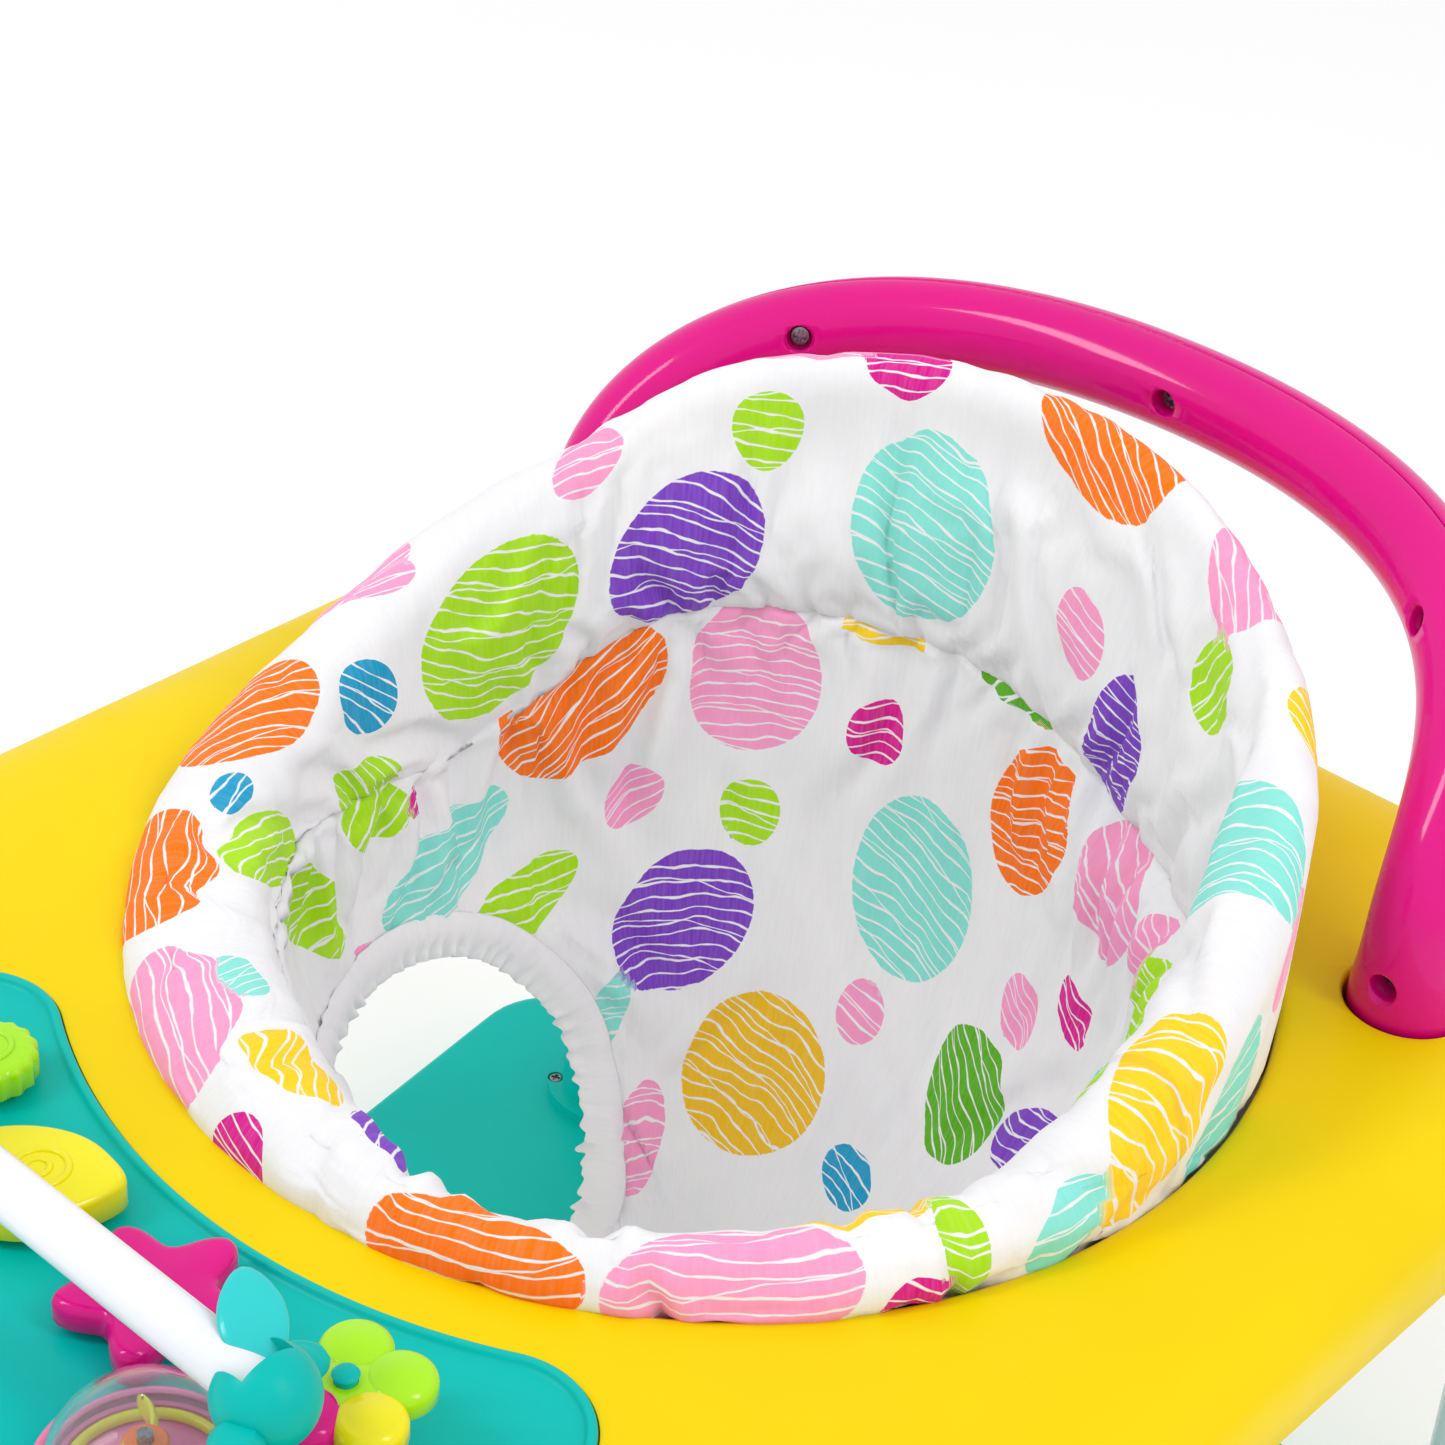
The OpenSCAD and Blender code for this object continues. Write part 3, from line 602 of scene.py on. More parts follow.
def bucket_radius(height):
    """The bucket's inner radius at a height."""
    upward = BUCKET_LINE[::-1]
    return np.interp(height, [h for _, h in upward], [bucket_width(s) for s, _ in upward])


def leg_loop(side, count):
    """Points where the leg opening's cylinder leaves the bucket."""
    base, way = leg_axis(side)
    first = unit(np.cross(way, [0, 1.0, 0]))
    second = np.cross(way, first)
    steps = np.arange(-40, 130, 0.5)
    loop = []
    for t in full_turn(count):
        line = base + LEG_R * (math.cos(t) * first + math.sin(t) * second) + steps[:, None] * way
        inside = (line[:, 2] > BOTTOM) & (np.hypot(line[:, 0], line[:, 1]) < bucket_radius(line[:, 2]))
        last = np.nonzero(inside)[0]
        loop.append(line[last[-1]] if len(last) else line[0])
    loop = np.array(loop)
    for _ in range(6):
        loop = (np.roll(loop, 1, 0) + 2 * loop + np.roll(loop, -1, 0)) / 4
    return loop


def bucket_grid():
    """The bucket's inner face from the seam to the middle of its bottom, with degrees and mm down from the seam."""
    rings, flat = [], []
    for i in range(TURNS):
        angle = 360 * i / TURNS
        _, inner, seam = collar_profile(angle)
        points = [(inner + 2.8, seam + 0.6), (inner + 1.7, seam - 0.3), (inner + 0.5, seam - 2.5)]
        points += [(bucket_width(share), height) for share, height in BUCKET_LINE[1:] if height < seam - 10]
        line = even(smooth_line(points), DROP_STEPS, closed=False)
        rings.append(swing(line, angle))
        flat.append(np.column_stack([np.full(DROP_STEPS, angle), run(line)]))
    return np.concatenate(rings), np.concatenate(flat)


def wave(seed, turns, low, high):
    """A sum of seeded cosines round the seat, about -1 to 1."""
    rng = np.random.default_rng(seed)
    freq = rng.integers(low, high + 1, 14)
    phase = rng.uniform(0, 2 * math.pi, 14)
    size = rng.uniform(0.4, 1.0, 14)
    total = (size[:, None] * np.cos(freq[:, None] * np.radians(turns)[None] + phase[:, None])).sum(0)
    return total / math.sqrt((size ** 2).sum() / 2) / 2


def folds(flat, table):
    """Heights of listed creases. A crease is (degrees, mm, degrees, mm, width, depth) from end to end."""
    total = np.zeros(len(flat))
    for a0, h0, a1, h1, wide, deep in table:
        dx, dy = apart(a1, a0) * MM_PER_DEGREE, h1 - h0
        x, y = apart(flat[:, 0], a0) * MM_PER_DEGREE, flat[:, 1] - h0
        size = math.hypot(dx, dy)
        along = (x * dx + y * dy) / size
        across = (x * dy - y * dx) / size + 0.6 * wide * np.sin(along / size * 4.0 + a0)
        inside = np.clip(np.minimum(along, size - along) / (0.35 * size), -1, 1)
        taper = np.where(inside > 0, 0.35 + 0.65 * np.sin(inside * math.pi / 2),
                         0.35 * np.exp(-(inside * 0.35 * size / wide) ** 2))
        valley = np.exp(-(across / wide) ** 2)
        ridges = (0.6 * np.exp(-((across - 1.7 * wide) / (1.1 * wide)) ** 2)
                  + 0.4 * np.exp(-((across + 1.8 * wide) / (1.3 * wide)) ** 2))
        total += deep * taper * (ridges - valley)
    return total


def simulate(obj, pins, pressure, grow, cap, bend=0.4, gravity=0.0, frames=18):
    """Blender's cloth on one piece: pins holds each vertex's pin weight, cap the most a point may move, in mm."""
    start = np.zeros(len(obj.data.vertices) * 3)
    obj.data.vertices.foreach_get("co", start)
    group = obj.vertex_groups.new(name="pins")
    for value in np.unique(pins):
        if value > 0:
            group.add(np.nonzero(pins == value)[0].tolist(), float(value), "REPLACE")
    mod = obj.modifiers.new("Cloth", "CLOTH")
    cloth = mod.settings
    cloth.quality = 6
    cloth.mass = 0.1
    cloth.air_damping = 2.0
    cloth.tension_stiffness = cloth.compression_stiffness = 12.0
    cloth.shear_stiffness = 4.0
    cloth.bending_stiffness = bend
    cloth.shrink_min = -grow
    cloth.vertex_group_mass = "pins"
    if pressure:
        cloth.use_pressure = True
        cloth.uniform_pressure_force = pressure
    cloth.effector_weights.gravity = gravity
    mod.collision_settings.use_collision = False
    mod.point_cache.frame_start, mod.point_cache.frame_end = 1, frames
    for number in range(1, frames + 1):
        scene.frame_set(number)
    mesh = obj.evaluated_get(bpy.context.evaluated_depsgraph_get()).data
    end = np.zeros_like(start)
    mesh.vertices.foreach_get("co", end)
    obj.modifiers.remove(mod)
    obj.vertex_groups.remove(group)
    scene.frame_set(1)
    move = (end - start).reshape(-1, 3)
    size = np.linalg.norm(move, axis=1) * 1000
    move *= (cap * np.tanh(size / cap) / np.maximum(size, 1e-9))[:, None]
    obj.data.vertices.foreach_set("co", (start.reshape(-1, 3) + move).ravel())
    obj.data.update()
    print("cloth", obj.name, "moved", round(float(size.mean()), 2), "most", round(float(size.max()), 2))


def add_values(obj, key, kind, values):
    layer = obj.data.attributes.new(key, kind, "POINT")
    layer.data.foreach_set({"FLOAT": "value", "FLOAT_VECTOR": "vector", "FLOAT_COLOR": "color"}[kind],
                           np.asarray(values, np.float32).ravel())


INKS = {"lime": "#A6DB10", "green": "#58AC14", "purple": "#7B3FBF", "aqua": "#86DED2", "orange": "#FB7405",
        "pink": "#F59AC4", "blue": "#1599C4", "magenta": "#D6118E", "yellow": "#F9CC10", "gold": "#EBB91C"}


def spun(x, y, degrees):
    """Coordinates along two axes that are turned by an angle."""
    c, s = math.cos(math.radians(degrees)), math.sin(math.radians(degrees))
    return x * c + y * s, y * c - x * s


def add_print(obj, flat, dots, seam):
    """Stores each vertex's nearest dot. A dot is (ink, degrees, mm, wide, high, lean, stripes' slope)."""
    nearest = np.full(len(flat), 9.0)
    ink = np.ones((len(flat), 4))
    where = np.zeros((len(flat), 3))
    for number, (name, degrees, rise, wide, tall, lean, slope) in enumerate(dots):
        x, y = apart(flat[:, 0], degrees) * MM_PER_DEGREE, flat[:, 1] - rise
        u, v = spun(x, y, lean)
        u, v = u / (wide / 2), v / (tall / 2)
        egg = (1 + 0.09 * np.clip(v, -1.5, 1.5) * math.cos(number * 2.4)
               + 0.05 * np.clip(u * v, -1, 1) * math.sin(number * 1.7))
        far = np.hypot(u * egg, v)
        near = far < nearest
        nearest[near] = far[near]
        ink[near] = colour(INKS[name])
        where[near] = np.column_stack([*spun(x, y, slope), np.full(len(x), number * 3.7)])[near]
    add_values(obj, "dot", "FLOAT", np.minimum(nearest, 3.0))
    add_values(obj, "dot_ink", "FLOAT_COLOR", ink)
    add_values(obj, "dot_at", "FLOAT_VECTOR", where)
    add_values(obj, "cloth", "FLOAT_VECTOR", np.column_stack([flat * (MM_PER_DEGREE, 1), np.zeros(len(flat))]))
    add_values(obj, "seam", "FLOAT", seam)


COLLAR_DOTS = (
    ("lime", 163, 40, 62, 56, 10, 28), ("purple", 137, 27, 56, 52, -10, 28), ("aqua", 106, 43, 54, 64, 0, 16),
    ("orange", 85, 110, 58, 54, 15, 28), ("lime", 128, 66, 24, 28, 0, 5), ("pink", 150, 76, 24, 25, 0, 18),
    ("pink", 124, 108, 50, 30, 0, 0), ("magenta", 112, 97, 28, 26, 0, -8), ("purple", 71, 24, 28, 54, 10, 8),
    ("pink", 80, 46, 22, 28, 0, 10), ("pink", 61, 117, 32, 60, -30, 30), ("lime", 54, 77, 28, 28, 0, -60),
    ("yellow", 40, 118, 28, 38, 0, -40), ("aqua", 27, 68, 42, 74, 25, -70), ("pink", 21, 112, 22, 26, 0, -60),
    ("blue", 184, 38, 27, 25, 0, 40), ("pink", 176, 76, 20, 14, 0, 15), ("orange", 198, 55, 50, 40, -25, 30),
    ("blue", 211, 38, 20, 12, 0, 5), ("orange", 224, 56, 54, 42, -5, 0), ("lime", 187, 6, 36, 24, 0, 55),
    ("lime", 214, 16, 24, 62, -65, 20), ("pink", 248, 56, 56, 40, 15, 10), ("aqua", 245, 33, 22, 14, -20, 60),
    ("yellow", 262, 30, 42, 20, -20, 25), ("magenta", 266, 60, 20, 22, 0, 10), ("purple", 276, 21, 30, 16, 10, 60),
    ("orange", 292, 45, 56, 36, 0, -8), ("pink", 315, 46, 62, 40, -4, 5), ("yellow", 329, 24, 46, 15, 0, 20),
    ("magenta", 331, 62, 20, 24, 0, 30), ("lime", 336, 47, 11, 40, 0, 20), ("aqua", 346, 62, 24, 22, 0, 30),
    ("yellow", 358, 68, 46, 42, 10, 80), ("lime", 3, 36, 40, 16, 15, 80), ("aqua", 9, 120, 32, 60, 0, 30),
    ("lime", 34, 156, 40, 38, 0, 15), ("orange", 62, 165, 50, 46, 0, 5), ("purple", 95, 160, 54, 48, 0, -10),
    ("yellow", 128, 160, 50, 50, 0, 15), ("aqua", 155, 120, 46, 40, 0, 10), ("magenta", 76, 140, 24, 24, 0, 20),
    ("lime", 112, 150, 22, 24, 0, 0), ("pink", 178, 90, 40, 34, 0, -10), ("purple", 205, 80, 44, 26, 0, 20),
    ("aqua", 300, 72, 40, 20, 0, 10),
)
BUCKET_DOTS = (
    ("orange", 151, 14, 66, 50, -20, 25), ("pink", 127, 26, 50, 58, 0, -3), ("yellow", 110, 3, 34, 8, 0, 8),
    ("orange", 83, 34, 38, 56, -15, 15), ("green", 90, 1, 34, 8, 4, 40), ("pink", 64, 22, 38, 46, 20, -50),
    ("pink", 51, 20, 22, 30, 0, -40), ("magenta", 109, 39, 22, 24, 0, 5), ("lime", 126, 79, 24, 26, 0, -5),
    ("pink", 143, 64, 22, 22, 25, 25), ("purple", 135, 118, 60, 52, 5, -10), ("aqua", 100, 90, 52, 68, 0, -20),
    ("aqua", 174, 42, 70, 30, 20, 20), ("lime", 161, 75, 54, 26, -8, -20), ("lime", 186, 10, 36, 22, 0, 40),
    ("magenta", 178, 12, 12, 10, 0, 20), ("lime", 203, 30, 26, 58, 40, 40), ("pink", 189, 63, 26, 10, -30, 20),
    ("purple", 64, 122, 50, 24, 35, 20), ("green", 81, 136, 42, 48, -10, -30), ("gold", 120, 174, 74, 58, 0, -20),
    ("blue", 95, 194, 36, 20, 0, -10), ("pink", 104, 141, 22, 24, 0, -15), ("pink", 77, 95, 20, 26, 10, -30),
    ("magenta", 66, 73, 26, 18, -30, -20), ("aqua", 148, 138, 24, 20, 60, -20), ("pink", 144, 190, 40, 34, 30, -20),
    ("lime", 40, 28, 50, 34, -20, -20), ("aqua", 20, 40, 50, 44, 0, 20), ("orange", 350, 30, 52, 40, 0, -15),
    ("purple", 325, 45, 46, 44, 0, 10), ("yellow", 300, 34, 50, 46, 0, -5), ("pink", 272, 40, 52, 48, 0, 15),
    ("aqua", 245, 36, 46, 48, 0, 20), ("blue", 287, 80, 24, 24, 0, 5), ("lime", 263, 90, 44, 46, 0, 10),
    ("magenta", 225, 60, 24, 24, 0, -10), ("orange", 278, 150, 54, 44, 0, 20), ("aqua", 50, 80, 30, 30, 0, 10),
    ("purple", 35, 70, 36, 40, 0, -20),
)
COLLAR_FOLDS = (
    (118, 90, 117, 35, 4.5, 1.6), (112, 88, 108, 12, 5.0, 2.2), (101, 96, 103, 60, 4.0, 1.4),
    (96, 70, 94, 20, 6.0, 2.0), (139, 0, 142, 26, 4.0, 3.4), (134, 2, 131, 18, 3.6, 2.0), (126, 0, 127, 16, 3.2, 1.4),
    (121, 0, 119, 22, 3.6, 1.6), (115, 0, 117, 14, 3.0, 1.2), (104, 0, 106, 20, 3.4, 2.4), (99, 0, 98, 14, 3.0, 1.4),
    (92, 0, 90, 24, 3.6, 2.0), (84, 0, 87, 22, 3.4, 2.2), (79, 2, 76, 30, 3.6, 2.6), (74, 0, 70, 46, 4.4, 3.6),
    (70, 8, 64, 40, 3.6, 2.8), (66, 0, 62, 24, 3.4, 2.0), (58, 4, 50, 40, 5.0, 2.6), (52, 30, 38, 66, 6.0, 2.2),
    (46, 10, 40, 50, 5.0, 2.4), (60, 70, 72, 84, 5.0, 1.8), (48, 76, 36, 84, 5.0, 1.8), (34, 30, 24, 60, 5.0, 2.0),
    (88, 96, 76, 92, 5.0, 1.8), (18, 60, 4, 66, 5.0, 2.2), (150, 0, 153, 22, 3.4, 2.0), (158, 2, 156, 20, 3.4, 1.6),
    (146, 62, 158, 56, 5.0, 2.0), (160, 60, 170, 48, 4.5, 2.2), (152, 74, 142, 82, 4.5, 1.6),
    (170, 10, 186, 22, 5.0, 2.6), (188, 4, 200, 26, 5.0, 3.0), (196, 40, 190, 62, 4.5, 2.4),
    (206, 20, 222, 34, 5.0, 3.2), (214, 44, 224, 30, 4.5, 2.6), (230, 20, 226, 58, 5.0, 3.4),
    (237, 26, 242, 56, 4.5, 2.8), (252, 14, 256, 52, 5.0, 3.6), (258, 44, 262, 22, 4.0, 2.8),
    (268, 22, 276, 50, 5.0, 3.0), (280, 12, 283, 44, 4.4, 4.0), (286, 18, 285, 36, 4.0, 2.4),
    (296, 30, 290, 18, 4.0, 2.0), (303, 14, 302, 44, 4.6, 3.6), (308, 30, 309, 58, 4.0, 2.2),
    (318, 24, 314, 34, 4.0, 1.6), (326, 18, 328, 44, 4.4, 2.6), (334, 16, 334, 66, 2.6, 2.6),
    (339, 20, 341, 50, 4.0, 2.2), (345, 30, 350, 66, 5.0, 2.6), (352, 26, 4, 40, 5.0, 2.2),
    (356, 70, 6, 84, 5.0, 2.0),
)
BUCKET_FOLDS = (
    (140, 0, 143, 74, 5.5, 5.0), (135, 0, 134, 26, 4.0, 2.0), (147, 2, 150, 50, 5.0, 2.2),
    (128, 0, 128, 18, 3.2, 1.4), (121, 0, 122, 22, 3.4, 1.6), (115, 0, 114, 16, 3.2, 1.4),
    (106, 0, 112, 66, 5.5, 3.6), (101, 0, 100, 40, 4.2, 2.6), (95, 0, 97, 26, 3.4, 2.0), (90, 2, 86, 46, 4.4, 2.6),
    (84, 2, 80, 54, 4.4, 3.2), (79, 0, 75, 40, 4.0, 3.0), (73, 0, 71, 70, 4.6, 4.2), (68, 2, 66, 60, 4.4, 4.0),
    (62, 0, 63, 70, 4.6, 4.0), (57, 2, 58, 90, 5.0, 4.0), (51, 0, 53, 60, 5.0, 3.6), (45, 4, 48, 80, 5.0, 3.6),
    (60, 90, 80, 150, 6.0, 2.6), (94, 60, 90, 140, 6.0, 2.0), (116, 70, 110, 130, 6.0, 1.8),
    (132, 60, 124, 130, 6.0, 1.8), (150, 90, 138, 150, 6.0, 2.4), (160, 4, 166, 70, 5.0, 3.4),
    (168, 0, 172, 60, 4.6, 3.2), (176, 4, 182, 62, 5.0, 3.6), (184, 0, 190, 50, 5.0, 4.0),
    (192, 0, 198, 48, 5.0, 4.0), (200, 4, 206, 60, 5.0, 4.0), (210, 0, 212, 50, 5.0, 3.0),
    (222, 0, 228, 60, 5.0, 3.0), (240, 4, 244, 70, 6.0, 3.0), (262, 0, 260, 80, 6.0, 3.0),
    (284, 4, 288, 70, 6.0, 3.0), (305, 0, 300, 80, 6.0, 3.0), (322, 0, 326, 70, 5.0, 3.0),
    (340, 0, 336, 60, 5.0, 3.0), (356, 0, 0, 70, 5.0, 3.2), (12, 0, 14, 60, 5.0, 3.2), (26, 0, 24, 80, 5.0, 3.2),
    (36, 0, 40, 60, 5.0, 3.0), (100, 150, 80, 190, 6.0, 2.2), (120, 140, 140, 190, 6.0, 2.2),
)

def make_collar():
    """The padded collar: a closed roll, creased along listed lines and puffed up by the cloth simulation."""
    points, flat = collar_grid()
    count = RISE_STEPS + HIDDEN_STEPS
    row = np.tile(np.arange(count), TURNS)
    share = np.clip(row / (RISE_STEPS - 1), 0, 1)
    shown = row < RISE_STEPS
    ripple = 0.7 * wave(5, flat[:, 0], 14, 46) + 0.5 * wave(6, flat[:, 0] + 12 * share, 40, 80)
    ripple *= (0.35 + 0.65 * np.exp(-share * 3)) * np.where(shown, np.sin(math.pi * share), 0.0)
    fade = np.clip(flat[:, 1] / 3, 0, 1) * np.clip((1 - share) * 8, 0, 1)
    crease = folds(flat, COLLAR_FOLDS) * np.where(shown, fade, 0)
    middle = outward(flat[:, 0]) * 158
    middle[:, 2] = points[:, 2] * 0.9
    points = points + unit(points - middle) * (ripple + crease)[:, None]
    obj = build("seat_collar_pad", (points, strips(TURNS, count, closed_rows=True)), "seat", "print_cotton",
                replaces=("seat_collar",))
    pins = ((row == 0) | (row >= RISE_STEPS - 2)).astype(float)
    simulate(obj, pins, pressure=3.5, grow=0.07, cap=7.0)
    add_print(obj, flat, COLLAR_DOTS, (row < 2).astype(float))


def make_bucket():
    """The fabric bucket: one sheet that hangs from the seam, with its leg openings cut out and their edges smooth."""
    points, flat = bucket_grid()
    row = np.tile(np.arange(DROP_STEPS), TURNS)
    gap = np.full(len(points), FAR_OFF)
    every = strips(TURNS, DROP_STEPS, closed_rows=True, closed_cols=False)
    for side in (-1, 1):
        near, away = leg_gap(points, side)
        kept = near > -1.2
        edge = np.zeros(len(points), bool)
        for f in every:
            share = kept[list(f)]
            if share.any() and not share.all():
                edge[[k for k in f if kept[k]]] = True
        points[edge] -= away[edge] * near[edge][:, None]
        gap = np.minimum(gap, np.where(kept, np.maximum(near, 0.01), near))
    faces = [f for f in every if min(gap[list(f)]) > 0]
    down = row / (DROP_STEPS - 1)
    ripple = 1.6 * wave(8, flat[:, 0] + 10 * down, 9, 30) + 0.6 * wave(9, flat[:, 0] - 20 * down, 30, 70)
    ripple = ripple * np.sin(math.pi * down) + folds(flat, BUCKET_FOLDS) * np.clip(flat[:, 1] / 3, 0, 1)
    ripple *= np.clip(gap / 25, 0, 1)
    points -= outward(flat[:, 0]) * (ripple * np.clip((points[:, 2] + 183) / 30, 0, 1))[:, None]
    obj = add_mesh("seat_bucket_cloth", points, faces, "print_cotton")
    shade(obj)
    pins = (row <= 1) | ((gap > 0) & (gap < 4)) | (row >= DROP_STEPS - 8)
    simulate(obj, pins.astype(float), pressure=0.0, grow=0.05, cap=9.0, gravity=0.1, bend=0.3)
    add_print(obj, flat, BUCKET_DOTS, (row < 1).astype(float))
    tool = bmesh.new()
    tool.from_mesh(obj.data)
    bmesh.ops.delete(tool, geom=[v for v in tool.verts if not v.link_faces], context="VERTS")
    tool.to_mesh(obj.data)
    tool.free()
    thick = obj.modifiers.new("thick", "SOLIDIFY")
    thick.thickness, thick.offset = 0.0012, 0
    apply_modifiers(obj)
    shade(obj)
    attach(obj, "seat")
    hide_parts("seat_bucket")


def make_cuffs():
    """Gathered elastic bindings round the leg openings, each with a frilled edge."""
    for side, label in ((-1, "left"), (1, "right")):
        loop = leg_loop(side, 640)
        count = len(loop)
        along = unit(np.roll(loop, -1, 0) - np.roll(loop, 1, 0))
        wall = unit(np.column_stack([loop[:, 0], loop[:, 1], np.where(loop[:, 2] < -165, -90.0, -30.0)]))
        inward = unit(without(without(loop.mean(0) - loop, along), wall))
        out = np.cross(along, inward)
        out *= np.sign((out * wall).sum(1))[:, None]
        turn = np.arange(count) * 360 / count
        gather, frill, slow = (wave(seed + side, turn, low, high)
                               for seed, low, high in ((11, 58, 92), (21, 46, 84), (31, 4, 9)))
        rings = []
        for a, b in CUFF:
            loose = max(0.0, (-a - 3.5) / 6.4)
            shift = -a + 0.5 * slow + 0.9 * frill * loose * loose
            lift = b * (1 + 0.32 * gather * (1 - loose)) + (2.2 * frill * loose + 0.35 * gather)
            rings.append(loop + inward * shift[:, None] + out * lift[:, None])
        cuff = build(f"leg_cuff_{label}_elastic", loft(list(np.stack(rings, 1)), closed=True), "seat", "trim_cotton",
                     replaces=(f"leg_cuff_{label}",))
        flat = np.column_stack([np.repeat(run(loop), len(CUFF)), np.tile([a for a, _ in CUFF], count),
                                np.zeros(count * len(CUFF))])
        add_values(cuff, "cloth", "FLOAT_VECTOR", flat)


make_collar()
make_bucket()
make_cuffs()

# ---------------------------------------------------------------- tray

WELL_R, LIP_R, SKIN = 175.0, 166.0, 3.0
TRAY_W, TRAY_BACK, TRAY_FRONT, TRAY_CORNER = 235.0, 229.0, 325.5, 62.0
AROUND = 432
HANDLE_FOOT = ((-173.0, 125.0), (173.0, 125.0))
STAR, LEAF, DIAL, FLOWER, DOME = (20.0, -231.0), (-38.0, -229.0), (-86.0, -205.0), (92.0, -229.0), (63.0, -268.0)


def flat_ring(outline, height):
    return np.column_stack([outline, np.full(len(outline), float(height))])


def round_rect(half_w, back, front, r, count=24):
    """Outline points of the tray, anticlockwise from the right front corner."""
    corners = ((half_w - r, -front + r, -90), (half_w - r, back - r, 0),
               (-half_w + r, back - r, 90), (-half_w + r, -front + r, 180))
    return np.vstack([arc((x, y), r, math.radians(start), math.radians(start + 90), count + 1)
                      for x, y, start in corners])


def bearings():
    """Evenly spaced directions from the seat's axis."""
    return -math.pi + (np.arange(AROUND) + 0.5) * 2 * math.pi / AROUND


def polar_outline(inset):
    """The tray's outline at evenly spaced directions from the seat's axis."""
    line = even(round_rect(TRAY_W - inset, TRAY_BACK - inset, TRAY_FRONT - inset, TRAY_CORNER - 0.9 * inset), 3000)
    bearing = np.arctan2(line[:, 1], line[:, 0])
    order = np.argsort(bearing)
    far = np.interp(bearings(), bearing[order], np.hypot(line[:, 0], line[:, 1])[order], period=2 * math.pi)
    return np.stack([far * np.cos(bearings()), far * np.sin(bearings())], 1)


def circle(radius):
    return radius * np.stack([np.cos(bearings()), np.sin(bearings())], 1)


def toy_outline(inset, steps=20):
    """The toy tray's outline: an arc round the seat, straight sides and round corners."""
    arc_r, corner, half, front = 198.0 + inset, 28.0 - inset, 109.0, 310.0 - inset
    deep = -math.sqrt(226.0 ** 2 - half ** 2)
    near = arc((0, 0), arc_r, -math.pi / 2, math.atan2(deep, half), 4 * steps + 1)[1:]
    side = np.vstack([near, arc((half, deep), corner, math.atan2(-deep, -half), 0, 2 * steps),
                      arc((half, -front + corner), corner, 0, -math.pi / 2, steps)])
    return mirrored(side)


def make_tray():
    """The yellow shell: one closed skin from the outer skirt over the top and down the seat's well, then underneath."""
    rim = [(3.0, -38.0), (0.5, -38.0), (0.0, -37.0), (0.0, -22.0), (0.5, -17.5), (2.0, -13.5), (5.0, -9.8),
           (9.5, -6.6), (15.5, -4.0), (23.0, -2.0), (32.0, -0.8), (42.0, -0.2)]
    well = [(180.0, 0.0), (177.4, -0.15), (176.0, -0.8), (175.2, -2.0), (WELL_R, -4.0), (WELL_R, -29.0),
            (174.2, -30.0), (LIP_R + 0.8, -30.0), (LIP_R, -30.8), (LIP_R, -33.6), (177.0, -34.0),
            (WELL_R + SKIN, -33.0), (WELL_R + SKIN, -3.4), (180.0, -SKIN)]
    under = [(42.0, -3.2), (23.0, -5.0), (12.0, -9.0), (5.0, -16.0), (3.0, -24.0)]
    rings = [flat_ring(polar_outline(inset), height) for inset, height in rim]
    rings += [flat_ring(polar_outline(42.0) * (1 - share) + circle(180) * share, 0.0) for share in (0.25, 0.5, 0.75)]
    rings += [flat_ring(circle(radius), height) for radius, height in well]
    rings += [flat_ring(polar_outline(inset), height) for inset, height in under]
    tray = build("tray_shell", loft(rings, closed=True), "tray", "yellow_shell", replaces=("tray_top",))
    hole = [(0, -16), (19.4, -16), (19.4, -1.6), (19.7, -0.7), (20.4, -0.1), (21.0, 0.1), (21.0, 6), (0, 6)]
    holes = [lathe(hole, at=foot) for foot in HANDLE_FOOT]
    cut(tray, [loft([flat_ring(toy_outline(-0.5), z) for z in (-15, 12)])] + holes, sharp=38)
    wall = [(19.4, -28), (21.4, -28), (21.4, -2.9), (19.4, -2.9), (19.4, -28)]
    build("handle_wells", join_parts([sleeve(wall, at=foot) for foot in HANDLE_FOOT]), "tray", "yellow_shell", sharp=40)


def make_toy_tray():
    """The teal toy station's tray: a wall underneath, a raised lip round the edge and a hole for each toy's stem."""
    section = ((12, -3.4), (12, -25.4), (11.4, -26), (9.6, -26), (9, -25.4), (9, -3.7), (0.6, -3.7), (0, -3.2),
               (0, 0.5), (0.25, 1.3), (0.8, 1.85), (1.6, 2.0), (2.2, 1.95), (2.7, 1.6), (3.1, 0.9), (3.6, 0.2),
               (4.6, -0.2), (6.0, -0.3))
    tray = build("toy_tray_moulding", loft([flat_ring(toy_outline(i), z) for i, z in section]), "toy_station",
                 "teal_plastic", replaces=("toy_tray",), sharp=50)
    hole = [(0, -10), (6, -10), (6, -1.2), (6.8, -0.5), (6.8, 4), (0, 4)]
    cut(tray, [lathe(hole, at=toy, steps=48) for toy in (STAR, LEAF, DIAL, FLOWER, DOME)], sharp=40)


# ---------------------------------------------------------------- handle and screws

HANDLE_R, HANDLE_WALL, HANDLE_FLARE = 15.5, 2.6, 3.5
HANDLE_CURVE = np.array([(173, 129, -8), (175, 90, 72.1), (179, 228, 103), (0, 228, 103)], float)
HANDLE_SCREWS = (0.1, 0.62, 1.0, 1.38, 1.9)
PLUG_LOW = -27.5


